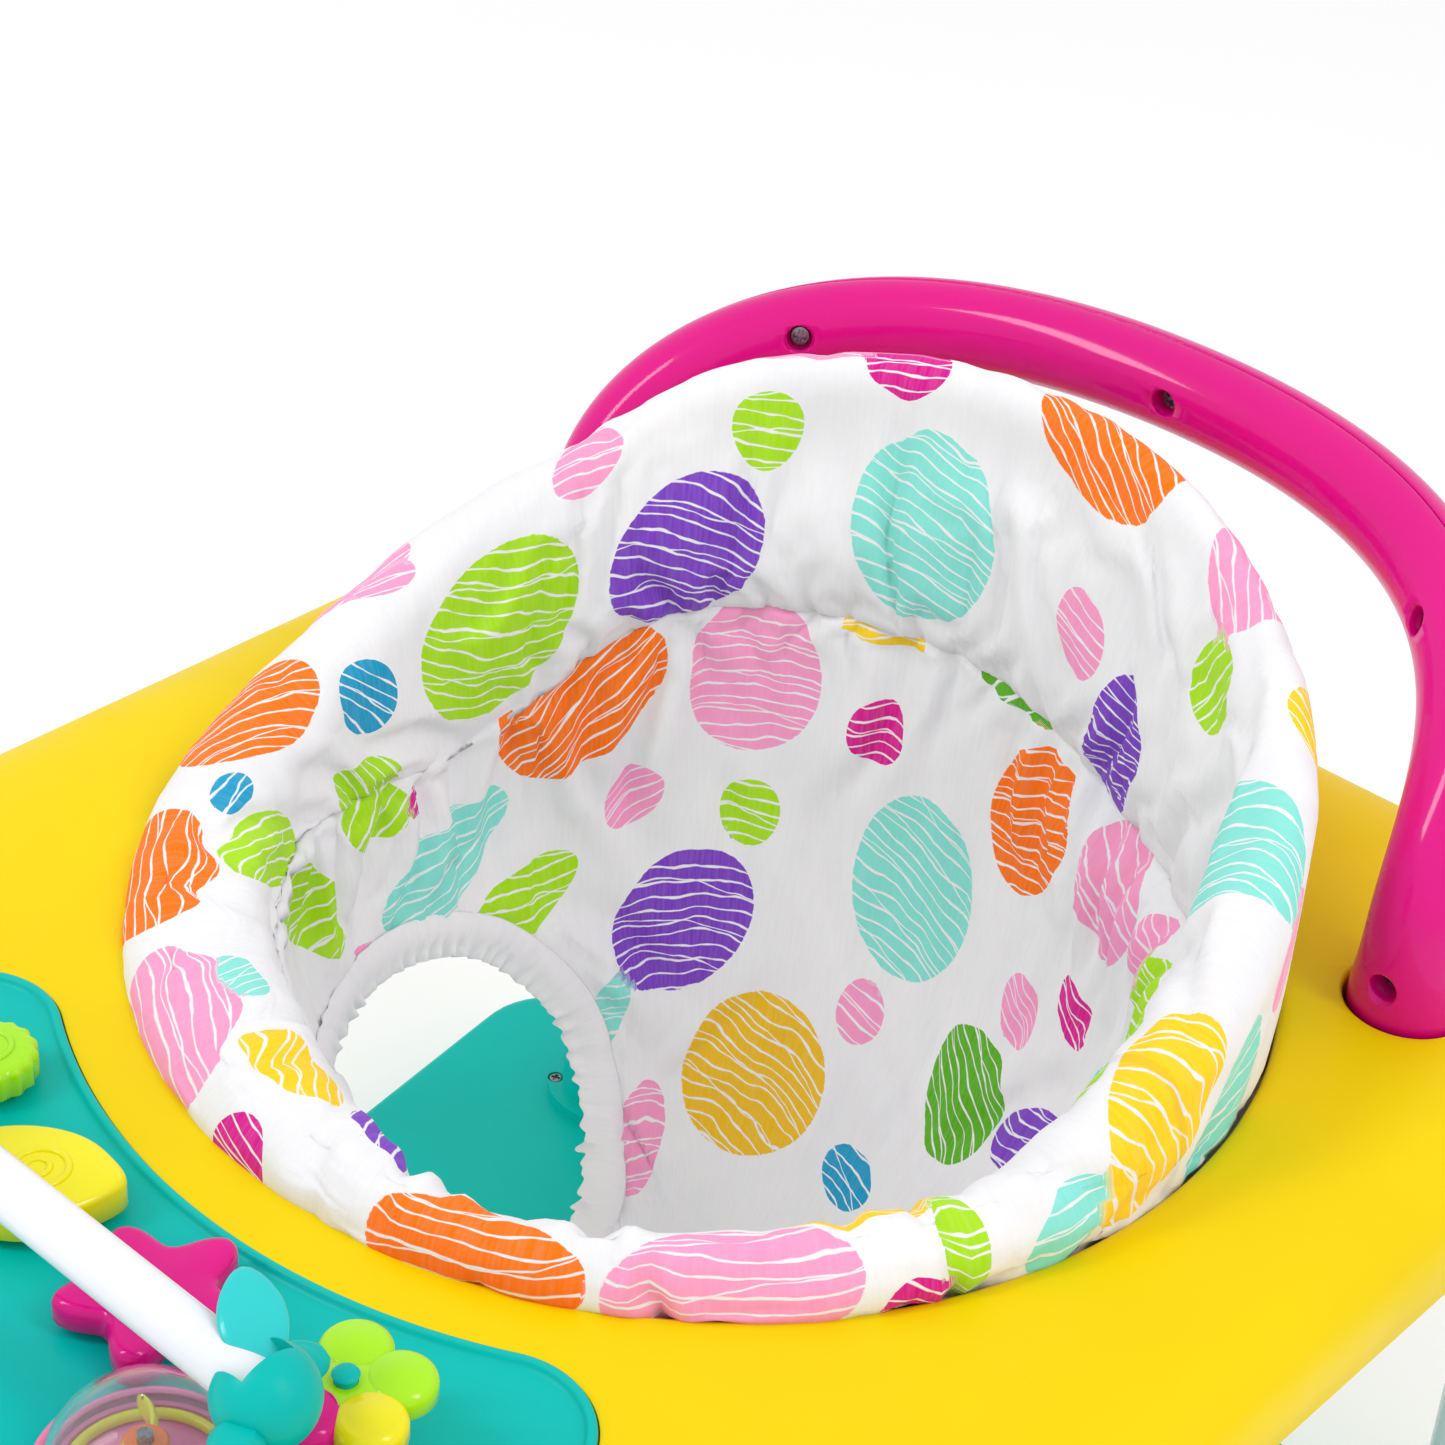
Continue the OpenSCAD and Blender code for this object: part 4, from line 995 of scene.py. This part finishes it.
def handle_frame(u):
    """The handle's centre and front and side directions at u from 0 to 2, and its radius, which flares at the feet."""
    if u > 1:
        flip = np.array([-1, 1, 1])
        centre, front, side, radius = handle_frame(2 - u)
        return centre * flip, front * flip, side * flip, radius
    p, t = HANDLE_CURVE, u
    centre = (1 - t) ** 3 * p[0] + 3 * (1 - t) ** 2 * t * p[1] + 3 * (1 - t) * t * t * p[2] + t ** 3 * p[3]
    way = unit((1 - t) ** 2 * (p[1] - p[0]) + 2 * (1 - t) * t * (p[2] - p[1]) + t * t * (p[3] - p[2]))
    front = unit(without(np.array([0, -1.0, 0]), way))
    return centre, front, np.cross(front, way), HANDLE_R + HANDLE_FLARE / (1 + math.exp((centre[2] - 9) / 4.5))


def half_section(r, start):
    """Half a tube's section as (along front, along side), with eased outer corners."""
    ease = 0.9
    slack, lead = math.degrees(0.22 / r), math.degrees(ease / r)
    outer = [(r, a) for a in np.linspace(start + slack + lead, start + 180 - slack - lead, 37)]
    first = [(r - ease, start + slack * 1.07), (r - 0.45 * ease, start + slack * 1.02 + 0.12 * lead),
             (r - 0.12 * ease, start + slack + 0.45 * lead)]
    last = [(q, 2 * start + 180 - a) for q, a in first[::-1]]
    inner = [(r - HANDLE_WALL, a) for a in np.linspace(start + 180 - 1, start + 1, 12)]
    return [(q * math.cos(math.radians(a)), q * math.sin(math.radians(a))) for q, a in first + outer + last + inner]


def plug_end(foot):
    """The ring under a handle's foot, straight down inside the tray and a little slimmer."""
    sign = 1 if foot[0, 0] > 0 else -1
    off = foot[:, :2] - np.array([sign * 173.0, 127.5])
    reach = np.clip(np.linalg.norm(off, axis=1), 14.0, 18.9)[:, None]
    return flat_ring(np.array([sign * 173.0, 125.0]) + unit(off) * reach, PLUG_LOW)


def make_handle():
    """Two half tubes that meet along the sides, and the screws in their counterbored wells."""
    stops = np.concatenate([np.linspace(0, 0.16, 14), np.linspace(0.16, 1.84, 100)[1:-1], np.linspace(1.84, 2, 14)])
    screws = [handle_frame(u) for u in HANDLE_SCREWS]
    for end, start in (("front", -90), ("back", 90)):
        rings = []
        for centre, front, side, r in map(handle_frame, stops):
            rings.append(np.array([centre + a * front + b * side for a, b in half_section(r, start)]))
        rings = [plug_end(rings[0]), *rings, plug_end(rings[-1])]
        half = build(f"handle_{end}_half", loft(rings), "tray", "magenta_plastic",
                     replaces=(f"handle_{end}_shell",), sharp=60)
        if end == "front":
            holes = []
            for centre, front, _, r in screws:
                profile = [(0, 8.0), (4.5, 8.0), (4.5, r - 1.6), (4.8, r - 0.9), (5.4, r - 0.35), (5.9, r + 0.4),
                           (5.9, r + 8), (0, r + 8)]
                holes.append(lathe(profile, at=centre, steps=48, to=front))
            cut(half, holes, sharp=60)
    well = [(0, 6.0), (6.2, 6.0), (6.2, 14.2), (4.55, 14.2), (4.55, 8.1), (0, 8.1)]
    wells = [lathe(well, at=centre, steps=48, to=front) for centre, front, _, _ in screws]
    build("handle_screw_wells", join_parts(wells), "tray", "magenta_plastic", sharp=40)
    heads = [screw_head(centre + 8.1 * front, front, 3.7, 2.2) for centre, front, _, _ in screws]
    build("handle_screw_heads", join_parts(heads), "tray", "screw_steel", replaces=("handle_screws",), sharp=35)


def screw_head(at, to, radius, height, turn=0.5):
    """A pan head with a cross recess, made as a grid whose middle sinks along two slots."""
    steps, rows = 48, 9
    cross_w, cross_l, deep = 0.2 * radius, 0.62 * radius, 0.6 * height
    x, y = np.cos(full_turn(steps)) * radius, np.sin(full_turn(steps)) * radius
    rings = [np.column_stack([q * x, q * y, np.full(steps, h * height)])
             for q, h in ((1.0, 0.0), (1.0, 0.35), (0.96, 0.62), (0.86, 0.84))]
    for row in range(rows):
        q = 0.72 * (1 - row / rows) + 0.02
        u, v = np.abs(spun(q * x, q * y, math.degrees(turn)))
        inside = (np.minimum(u, v) < cross_w) & (np.maximum(u, v) < cross_l)
        rings.append(np.column_stack([q * x, q * y, height * (1 - 0.22 * q * q) - deep * inside]))
    points, faces = loft(rings)
    return points @ turn_to(to).T + np.array(at, float), faces


# ---------------------------------------------------------------- base and posts


def base_outline(inset):
    """The base's outline: wider at the back, with round corners."""
    corner = 34.0
    back = (285 - inset - corner, 222 - inset - corner)
    front = (226 - inset - corner, -264 + inset + corner)
    lean = math.atan2(back[0] - front[0], back[1] - front[1])
    side = [arc(back, corner, math.pi / 2, -lean, 14), arc(front, corner, -lean, -math.pi / 2, 14)]
    whole = mirrored(np.vstack(side))
    return even(np.vstack([whole, whole[:1]]), 320)


def make_base():
    """A hollow base with a rolled top edge and the footrest's non-slip ribs."""
    low, top = FLOOR + 6, FLOOR + 40
    section = [(4, low + 1), (3.4, low), (0.8, low), (0, low + 0.8), (0, low + 21.4)]
    section += [(6 - 6 * math.cos(t), low + 21.4 + 12.6 * math.sin(t)) for t in np.linspace(0.2, math.pi / 2, 9)]
    section.append((10, top))
    under = [(9.6, top - 3.6), (5, low + 19), (4, low + 3)]
    skin, inner, rim = ([flat_ring(base_outline(i), z) for i, z in line]
                        for line in (section, under, ((4, low + 3), (4, low + 1))))
    base = [loft(skin, cap_first=False), loft(inner, cap_last=False), loft(rim, cap_first=False, cap_last=False)]
    build("base_moulding", join_parts(base), "base", "teal_plastic", replaces=("base_platform",), sharp=50)
    ribs = []
    for x in range(-96, 97, 16):
        half = 92 - 0.004 * x * x
        ribs.append(ridge((x, -30 - half), (x, -30 + half), 3.0, 1.3, top - 0.4))
    build("base_grip_ribs", join_parts(ribs), "base", "teal_plastic", sharp=60)


def ridge(first, last, half, high, at):
    """A low bar with round ends and a round top, lying on a flat face."""
    a, b = np.array(first, float), np.array(last, float)
    way, middle, end = unit(b - a), (a + b) / 2, np.linalg.norm(b - a) / 2
    side = np.array([-way[1], way[0]])
    turn = np.linspace(0, math.pi, 13)
    outline = [b + half * (math.sin(t) * way + math.cos(t) * -side) for t in turn]
    outline += [a + half * (-math.sin(t) * way + math.cos(t) * side) for t in turn]
    along, across = (np.array(outline) - middle) @ way, (np.array(outline) - middle) @ side
    spill = np.sign(along) * np.maximum(np.abs(along) - end, 0)
    rings = []
    for gap, rise in ((0, 0), (0, high * 0.35), (half * 0.25, high * 0.8), (half * 0.6, high), (half * 0.97, high)):
        scale = (half - gap) / half
        line = middle + np.outer(along - spill + spill * scale, way) + np.outer(across * scale, side)
        rings.append(flat_ring(line, at + rise))
    return loft(rings)


def make_fixings():
    """Cross-recessed pan heads in place of the plain screw heads."""
    heads = [screw_head((x + 26.4 * math.cos(a), y + 26.4 * math.sin(a), FLOOR + 43), (0, 0, 1), 3.0, 2.0, turn=a * 1.7)
             for x, y in POSTS.values() for a in np.radians((45, 135, 225, 315))]
    build("socket_screw_heads", join_parts(heads), "base", "screw_steel", replaces=("socket_screws",), sharp=35)
    spots = [(side * x, y) for x, y in ((215, 0), (150, 190), (155, -282)) for side in (-1, 1)]
    heads = [screw_head((x, y, -38), (0, 0, -1), 4.0, 2.0, turn=0.3 * k) for k, (x, y) in enumerate(spots)]
    build("tray_screw_heads", join_parts(heads), "tray", "screw_steel", replaces=("tray_screws",), sharp=35)


def make_springs():
    """Coil springs inside the lower tubes, closed at both ends."""
    low, high, turns, wire, coil = FLOOR + 44.2, FLOOR + 117.6, 8, 1.3, 11.5
    up = np.array([0, 0, 1.0])
    for label, (x, y) in POSTS.items():
        rings = []
        for t in np.linspace(0, 1, turns * 28 + 1):
            rise = np.clip((t - 0.08) / 0.84, 0, 1)
            z = low + wire + 0.06 * t + (high - low - 2 * wire - 0.06) * rise
            out = np.array([math.cos(2 * math.pi * turns * t), math.sin(2 * math.pi * turns * t), 0])
            rings.append(tube(np.array([x, y, z]) + coil * out, wire * out, wire * up, 10))
        obj = add_mesh(f"spring_coil_{label}", *loft(rings), "spring_steel")
        shade(obj)
        start, end = (tuple(map(float, place((x, y, z)))) for z in (low, high))
        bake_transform(obj)
        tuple(start)
        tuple(end)
        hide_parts(f"bounce_spring_{label}")


# ---------------------------------------------------------------- toys

BAR_Y, BAR_Z, BAR_X, BAR_R, BALL_R = -257.0, 45.0, 96.0, 7.5, 13.5
FLOWER_Z, FLOWER_H, PETAL_R = 18.0, 11.0, 9.6
DOME_R, DOME_WALL = 26.0, 1.6


def puffy(outline, low, high, edge, crown=0.0, at=(0, 0), rows=6, foot=0.5):
    """A closed moulded shape: an outline from angles to radii, with a round top edge and a slight crown."""
    angle = full_turn(160)
    base = np.stack([outline(angle) * np.cos(angle), outline(angle) * np.sin(angle)], 1)
    tangent = unit(np.roll(base, -1, 0) - np.roll(base, 1, 0))
    normal = np.stack([tangent[:, 1], -tangent[:, 0]], 1)
    rings = [(base - normal * foot, low), (base, low + foot)]
    for t in np.linspace(0, math.pi / 2, rows):
        rings.append((base - normal * edge * (1 - math.cos(t)), high - edge + edge * math.sin(t)))
    rings += [((base - normal * edge) * q, high + crown * (1 - q * q)) for q in (0.85, 0.65, 0.42, 0.2, 0.03)]
    return loft([flat_ring(line + at, height) for line, height in rings])


def ring_tube(radius, thick, at, steps=64, squash=0.8):
    """A ring of oval section, lying flat."""
    outs = [np.array([math.cos(s), math.sin(s), 0]) for s in full_turn(steps)]
    up = np.array([0, 0, squash * thick])
    return loft([tube(np.array(at) + radius * out, thick * out, up, 16) for out in outs], closed=True)


def star_edge(angle):
    return 16.4 + 9.8 * (0.5 + 0.5 * np.cos(5 * (angle - math.pi / 2))) ** 1.1


def leaf_edge(angle):
    """Two arcs that meet in tips, one tip rounder than the other."""
    t = angle - math.radians(38)
    lens = 25.5 - 7.0 * np.abs(np.sin(t)) ** 1.3
    return lens + 2.6 * np.exp(-(((t + math.pi) % (2 * math.pi) - math.pi) / 0.28) ** 2)


def dial_edge(angle):
    return 13.6 + 0.4 * np.cos(16 * angle)


def petal_edge(angle):
    return np.full(len(angle), PETAL_R)


def make_buttons():
    """Star, leaf and dial, each on a stem that goes into the toy tray, with rings raised on the last two."""
    swirl = [ring_tube(7.5, 1.0, (LEAF[0] + 4, LEAF[1] + 3, 13.6)),
             ring_tube(3.4, 0.9, (LEAF[0] + 3.2, LEAF[1] + 2.4, 13.7))]
    dial_ring = [ring_tube(6.5, 0.9, (*DIAL, 12.7))]
    stem = [(0, -7), (5.2, -7), (5.6, -6.6), (5.6, 4), (0, 4)]
    for name, at, slot, edge, high, soft, crown, extra in (
            ("star_button", STAR, "magenta_plastic", star_edge, 11.4, 3.2, 0.6, []),
            ("leaf_button", LEAF, "lemon_plastic", leaf_edge, 13.2, 2.6, 0.5, swirl),
            ("dial_button", DIAL, "lime_plastic", dial_edge, 12.4, 2.8, 0.4, dial_ring)):
        parts = [puffy(edge, 3.0, high, soft, crown, at), lathe(stem, at=at, steps=40), *extra]
        build(f"{name}_cap", join_parts(parts), name, slot, replaces=(name,), sharp=50)


def make_flower():
    """Five round petals, the first with the flower's bored middle, and the post that they turn on."""
    low, top = FLOWER_Z + 1, FLOWER_Z + FLOWER_H
    bore = [(3.1, low), (8.6, low), (9.2, low + 1), (9.2, low + 7), (8.2, low + 8.6), (3.1, low + 8.6), (3.1, low)]
    for k, slot in enumerate(("lime_plastic", "lime_plastic", "lemon_plastic", "magenta_plastic", "teal_plastic")):
        turn = math.radians(128 - 72 * k)
        at = (FLOWER[0] + 13.2 * math.cos(turn), FLOWER[1] + 13.2 * math.sin(turn))
        parts = [puffy(petal_edge, low, top - 1, 3.4, 1.2, at, rows=9, foot=2.0)]
        if k == 0:
            parts.append(lathe(bore, at=FLOWER))
        build(f"flower_petal_{k + 1}", join_parts(parts), "flower_spinner", slot,
              replaces=("flower_spinner",), sharp=60)
    post = [(0, -0.6), (7, -0.6), (7, FLOWER_Z - 0.9), (6.4, FLOWER_Z - 0.3), (3, FLOWER_Z - 0.3), (3, top + 0.3),
            (3.4, top + 0.4), (3.6, top + 0.8), (3.2, top + 1.4), (2.0, top + 1.8), (0, top + 1.9)]
    build("flower_post", lathe(post, at=FLOWER, steps=56), "toy_station", "teal_plastic",
          replaces=("flower_stem",), sharp=40)


def box(low, high):
    """A closed box between two corners."""
    spots = [[(low, high)[i][0], (low, high)[j][1], (low, high)[k][2]]
             for k in (0, 1) for i, j in ((0, 0), (1, 0), (1, 1), (0, 1))]
    walls = [(0, 3, 2, 1), (4, 5, 6, 7), (0, 1, 5, 4), (1, 2, 6, 5), (2, 3, 7, 6), (3, 0, 4, 7)]
    return np.array(spots), walls


def wing_rings(side):
    """The petal-shaped wing on a clip, from inside the ball outwards and up."""
    out = unit(np.array([-side * 0.85, 0.5, 0.1]))
    flat = unit(np.cross(out, [0.0, 0.0, 1.0]))
    rise = np.cross(flat, out)
    rise *= 1 if rise[2] > 0 else -1
    root = np.array([side * BAR_X, BAR_Y, BAR_Z + 4.0])
    for s in np.linspace(0, 1, 26):
        half = 7.5 * (0.72 + 0.42 * math.sin(math.pi * s ** 0.9)) * math.sqrt(max(0.0, 1 - s ** 4)) + 0.02
        thick = 1.7 * math.sqrt(max(0.0, 1 - s ** 6)) + 0.05
        yield tube(root + out * (6 + 26 * s) + rise * (5 * math.sin(1.6 * s)), flat * half, rise * thick, 28)


def make_bar():
    """The white bar with its slightly eased ends, and a ball clip with a wing at each end."""
    reach = BAR_X - 1
    half = [(BAR_R, reach - 2), (BAR_R - 0.6, reach - 0.6), (BAR_R - 2, reach), (0, reach)]
    profile = [(r, -x) for r, x in half[::-1]] + [(BAR_R, 0)] + half
    build("toy_bar_tube", lathe(profile, at=(0, BAR_Y, BAR_Z), steps=72, to=(1, 0, 0)), "toy_station",
          "white_plastic", replaces=("toy_bar",), sharp=40)
    ball = [(0, -BALL_R)] + [(BALL_R * math.cos(t), BALL_R * math.sin(t)) for t in np.linspace(-1.45, 0.62, 26)]
    ball += [(10.4, 8.5), (8.3, 8.6), (7.8, 8.2), (7.75, 0.6), (0, 0.6)]
    leg = [(0, -0.6), (11.0, -0.6), (11.0, 0.4), (9.6, 1.6), (8.6, 4.0), (7.9, 20), (7.4, 40), (6.6, 45),
           (4.5, 47.4), (0, 48)]
    for side, label in ((-1, "left"), (1, "right")):
        x = side * BAR_X
        parts = [lathe(ball, at=(x, BAR_Y, BAR_Z), steps=72, to=(-side, 0, 0)),
                 lathe(leg, at=(side * (BAR_X + 6), BAR_Y - 14))]
        clip = build(f"bar_clip_{label}_ball", join_parts(parts), "toy_station", "teal_plastic",
                     replaces=(f"bar_clip_{label}",), sharp=45)
        ends = sorted((x + side * 1.2, x - side * 13.8))
        cut(clip, [box((ends[0], BAR_Y - 7.9, BAR_Z + 0.4), (ends[1], BAR_Y + 7.9, BAR_Z + 16.4))], sharp=40)
        wing = build(f"bar_clip_{label}_wing", loft(list(wing_rings(side))), "toy_station", "teal_plastic", sharp=60)
        wing.data.materials[0] = MATERIALS["aqua_plastic"]


def vane_rings(turn):
    """One curved blade of the small wheel inside the dome."""
    for s in np.linspace(0, 1, 16):
        bend = turn + 0.5 * s
        mid = np.array([DOME[0] + (4.5 + 14 * s) * math.cos(bend), DOME[1] + (4.5 + 14 * s) * math.sin(bend), 9.5])
        across = np.array([-math.sin(bend), math.cos(bend), 0])
        end = math.sqrt(max(0.0, 1 - s ** 6))
        high = (4.2 + math.sin(math.pi * s)) * end + 0.02
        yield tube(mid, across * (1.3 * end + 0.02), np.array([0, 0, high]), 20)


def make_dome():
    """The clear dome over a bezel, a loose ring and a wheel of three blades."""
    rise = np.linspace(0, math.pi / 2 - 0.01, 28)
    cup = [(DOME_R * math.cos(t), 3 + DOME_R * math.sin(t)) for t in rise]
    hollow = DOME_R - DOME_WALL
    inside = [(hollow * math.cos(t), 3 + hollow * math.sin(t)) for t in rise[::-1]]
    build("dome_window", sleeve(cup + inside + cup[:1], at=DOME, steps=96), "toy_station", "clear_plastic",
          replaces=("dome_cover",), sharp=50)
    bezel = [(5, -0.6), (29.5, -0.6), (29.5, 3.6), (29.1, 4.8), (28.0, 5.4), (27.0, 5.3), (26.1, 4.6), (26.1, 3.0),
             (23, 2.9), (22.6, 0.8), (5, 0.8), (5, -0.6)]
    build("dome_bezel", sleeve(bezel, at=DOME, steps=96), "toy_station", "pink_plastic",
          replaces=("dome_ring",), sharp=50)
    build("dome_inner_ring", ring_tube(20.6, 1.6, (*DOME, 2.2), steps=96, squash=1.0), "toy_station", "lemon_plastic")
    hub = [(2.1, 5), (5.4, 5), (6, 5.6), (6, 13), (5.2, 14), (2.1, 14), (2.1, 5)]
    for k, slot in enumerate(("orange_plastic", "lemon_plastic", "lime_plastic")):
        parts = [loft(list(vane_rings(math.radians(120 * k))))]
        if k == 0:
            parts.append(lathe(hub, at=DOME, steps=48))
        build(f"dome_vane_{k + 1}", join_parts(parts), "dome_whirl", slot, replaces=("dome_whirl",), sharp=50)


make_base()
make_fixings()
make_springs()
make_tray()
make_toy_tray()
make_handle()
make_buttons()
make_flower()
make_bar()
make_dome()

# ---------------------------------------------------------------- floor and light


def add_stage():
    """A plain pale floor."""
    mesh = bpy.data.meshes.new("floor")
    mesh.from_pydata([(-8, -8, 0), (8, -8, 0), (8, 12, 0), (-8, 12, 0)], [], [(0, 1, 2, 3)])
    floor = bpy.data.objects.new("floor", mesh)
    scene.collection.objects.link(floor)
    n = Nodes("floor")
    n.set(Base_Color=n.mix(n.noise(n.place(), 1.5), colour("#FAFAFA"), colour("#FCFCFC")), Roughness=0.9,
          Specular_IOR_Level=0.1)
    mesh.materials.append(n.mat)


def add_light(name, at, power):
    """A tall soft box, aimed at the middle of the object."""
    data = bpy.data.lights.new(name, "AREA")
    data.shape, data.size, data.size_y, data.energy = "RECTANGLE", 0.35, 1.1, power
    lamp = bpy.data.objects.new(name, data)
    scene.collection.objects.link(lamp)
    lamp.location = at
    lamp.rotation_euler = (Vector((0, 0, 0.35)) - Vector(at)).to_track_quat("-Z", "Y").to_euler()


def add_world():
    """Even white light from all round, which fills the shadows."""
    world = bpy.data.worlds.new("studio")
    world.use_nodes = True
    sky = world.node_tree.nodes["Background"]
    sky.inputs["Color"].default_value = (1, 1, 1, 1)
    sky.inputs["Strength"].default_value = 0.92
    scene.world = world


add_stage()
add_world()
add_light("key", (-0.9, -1.3, 2.0), 13)
add_light("fill", (1.5, 0.2, 1.9), 10)
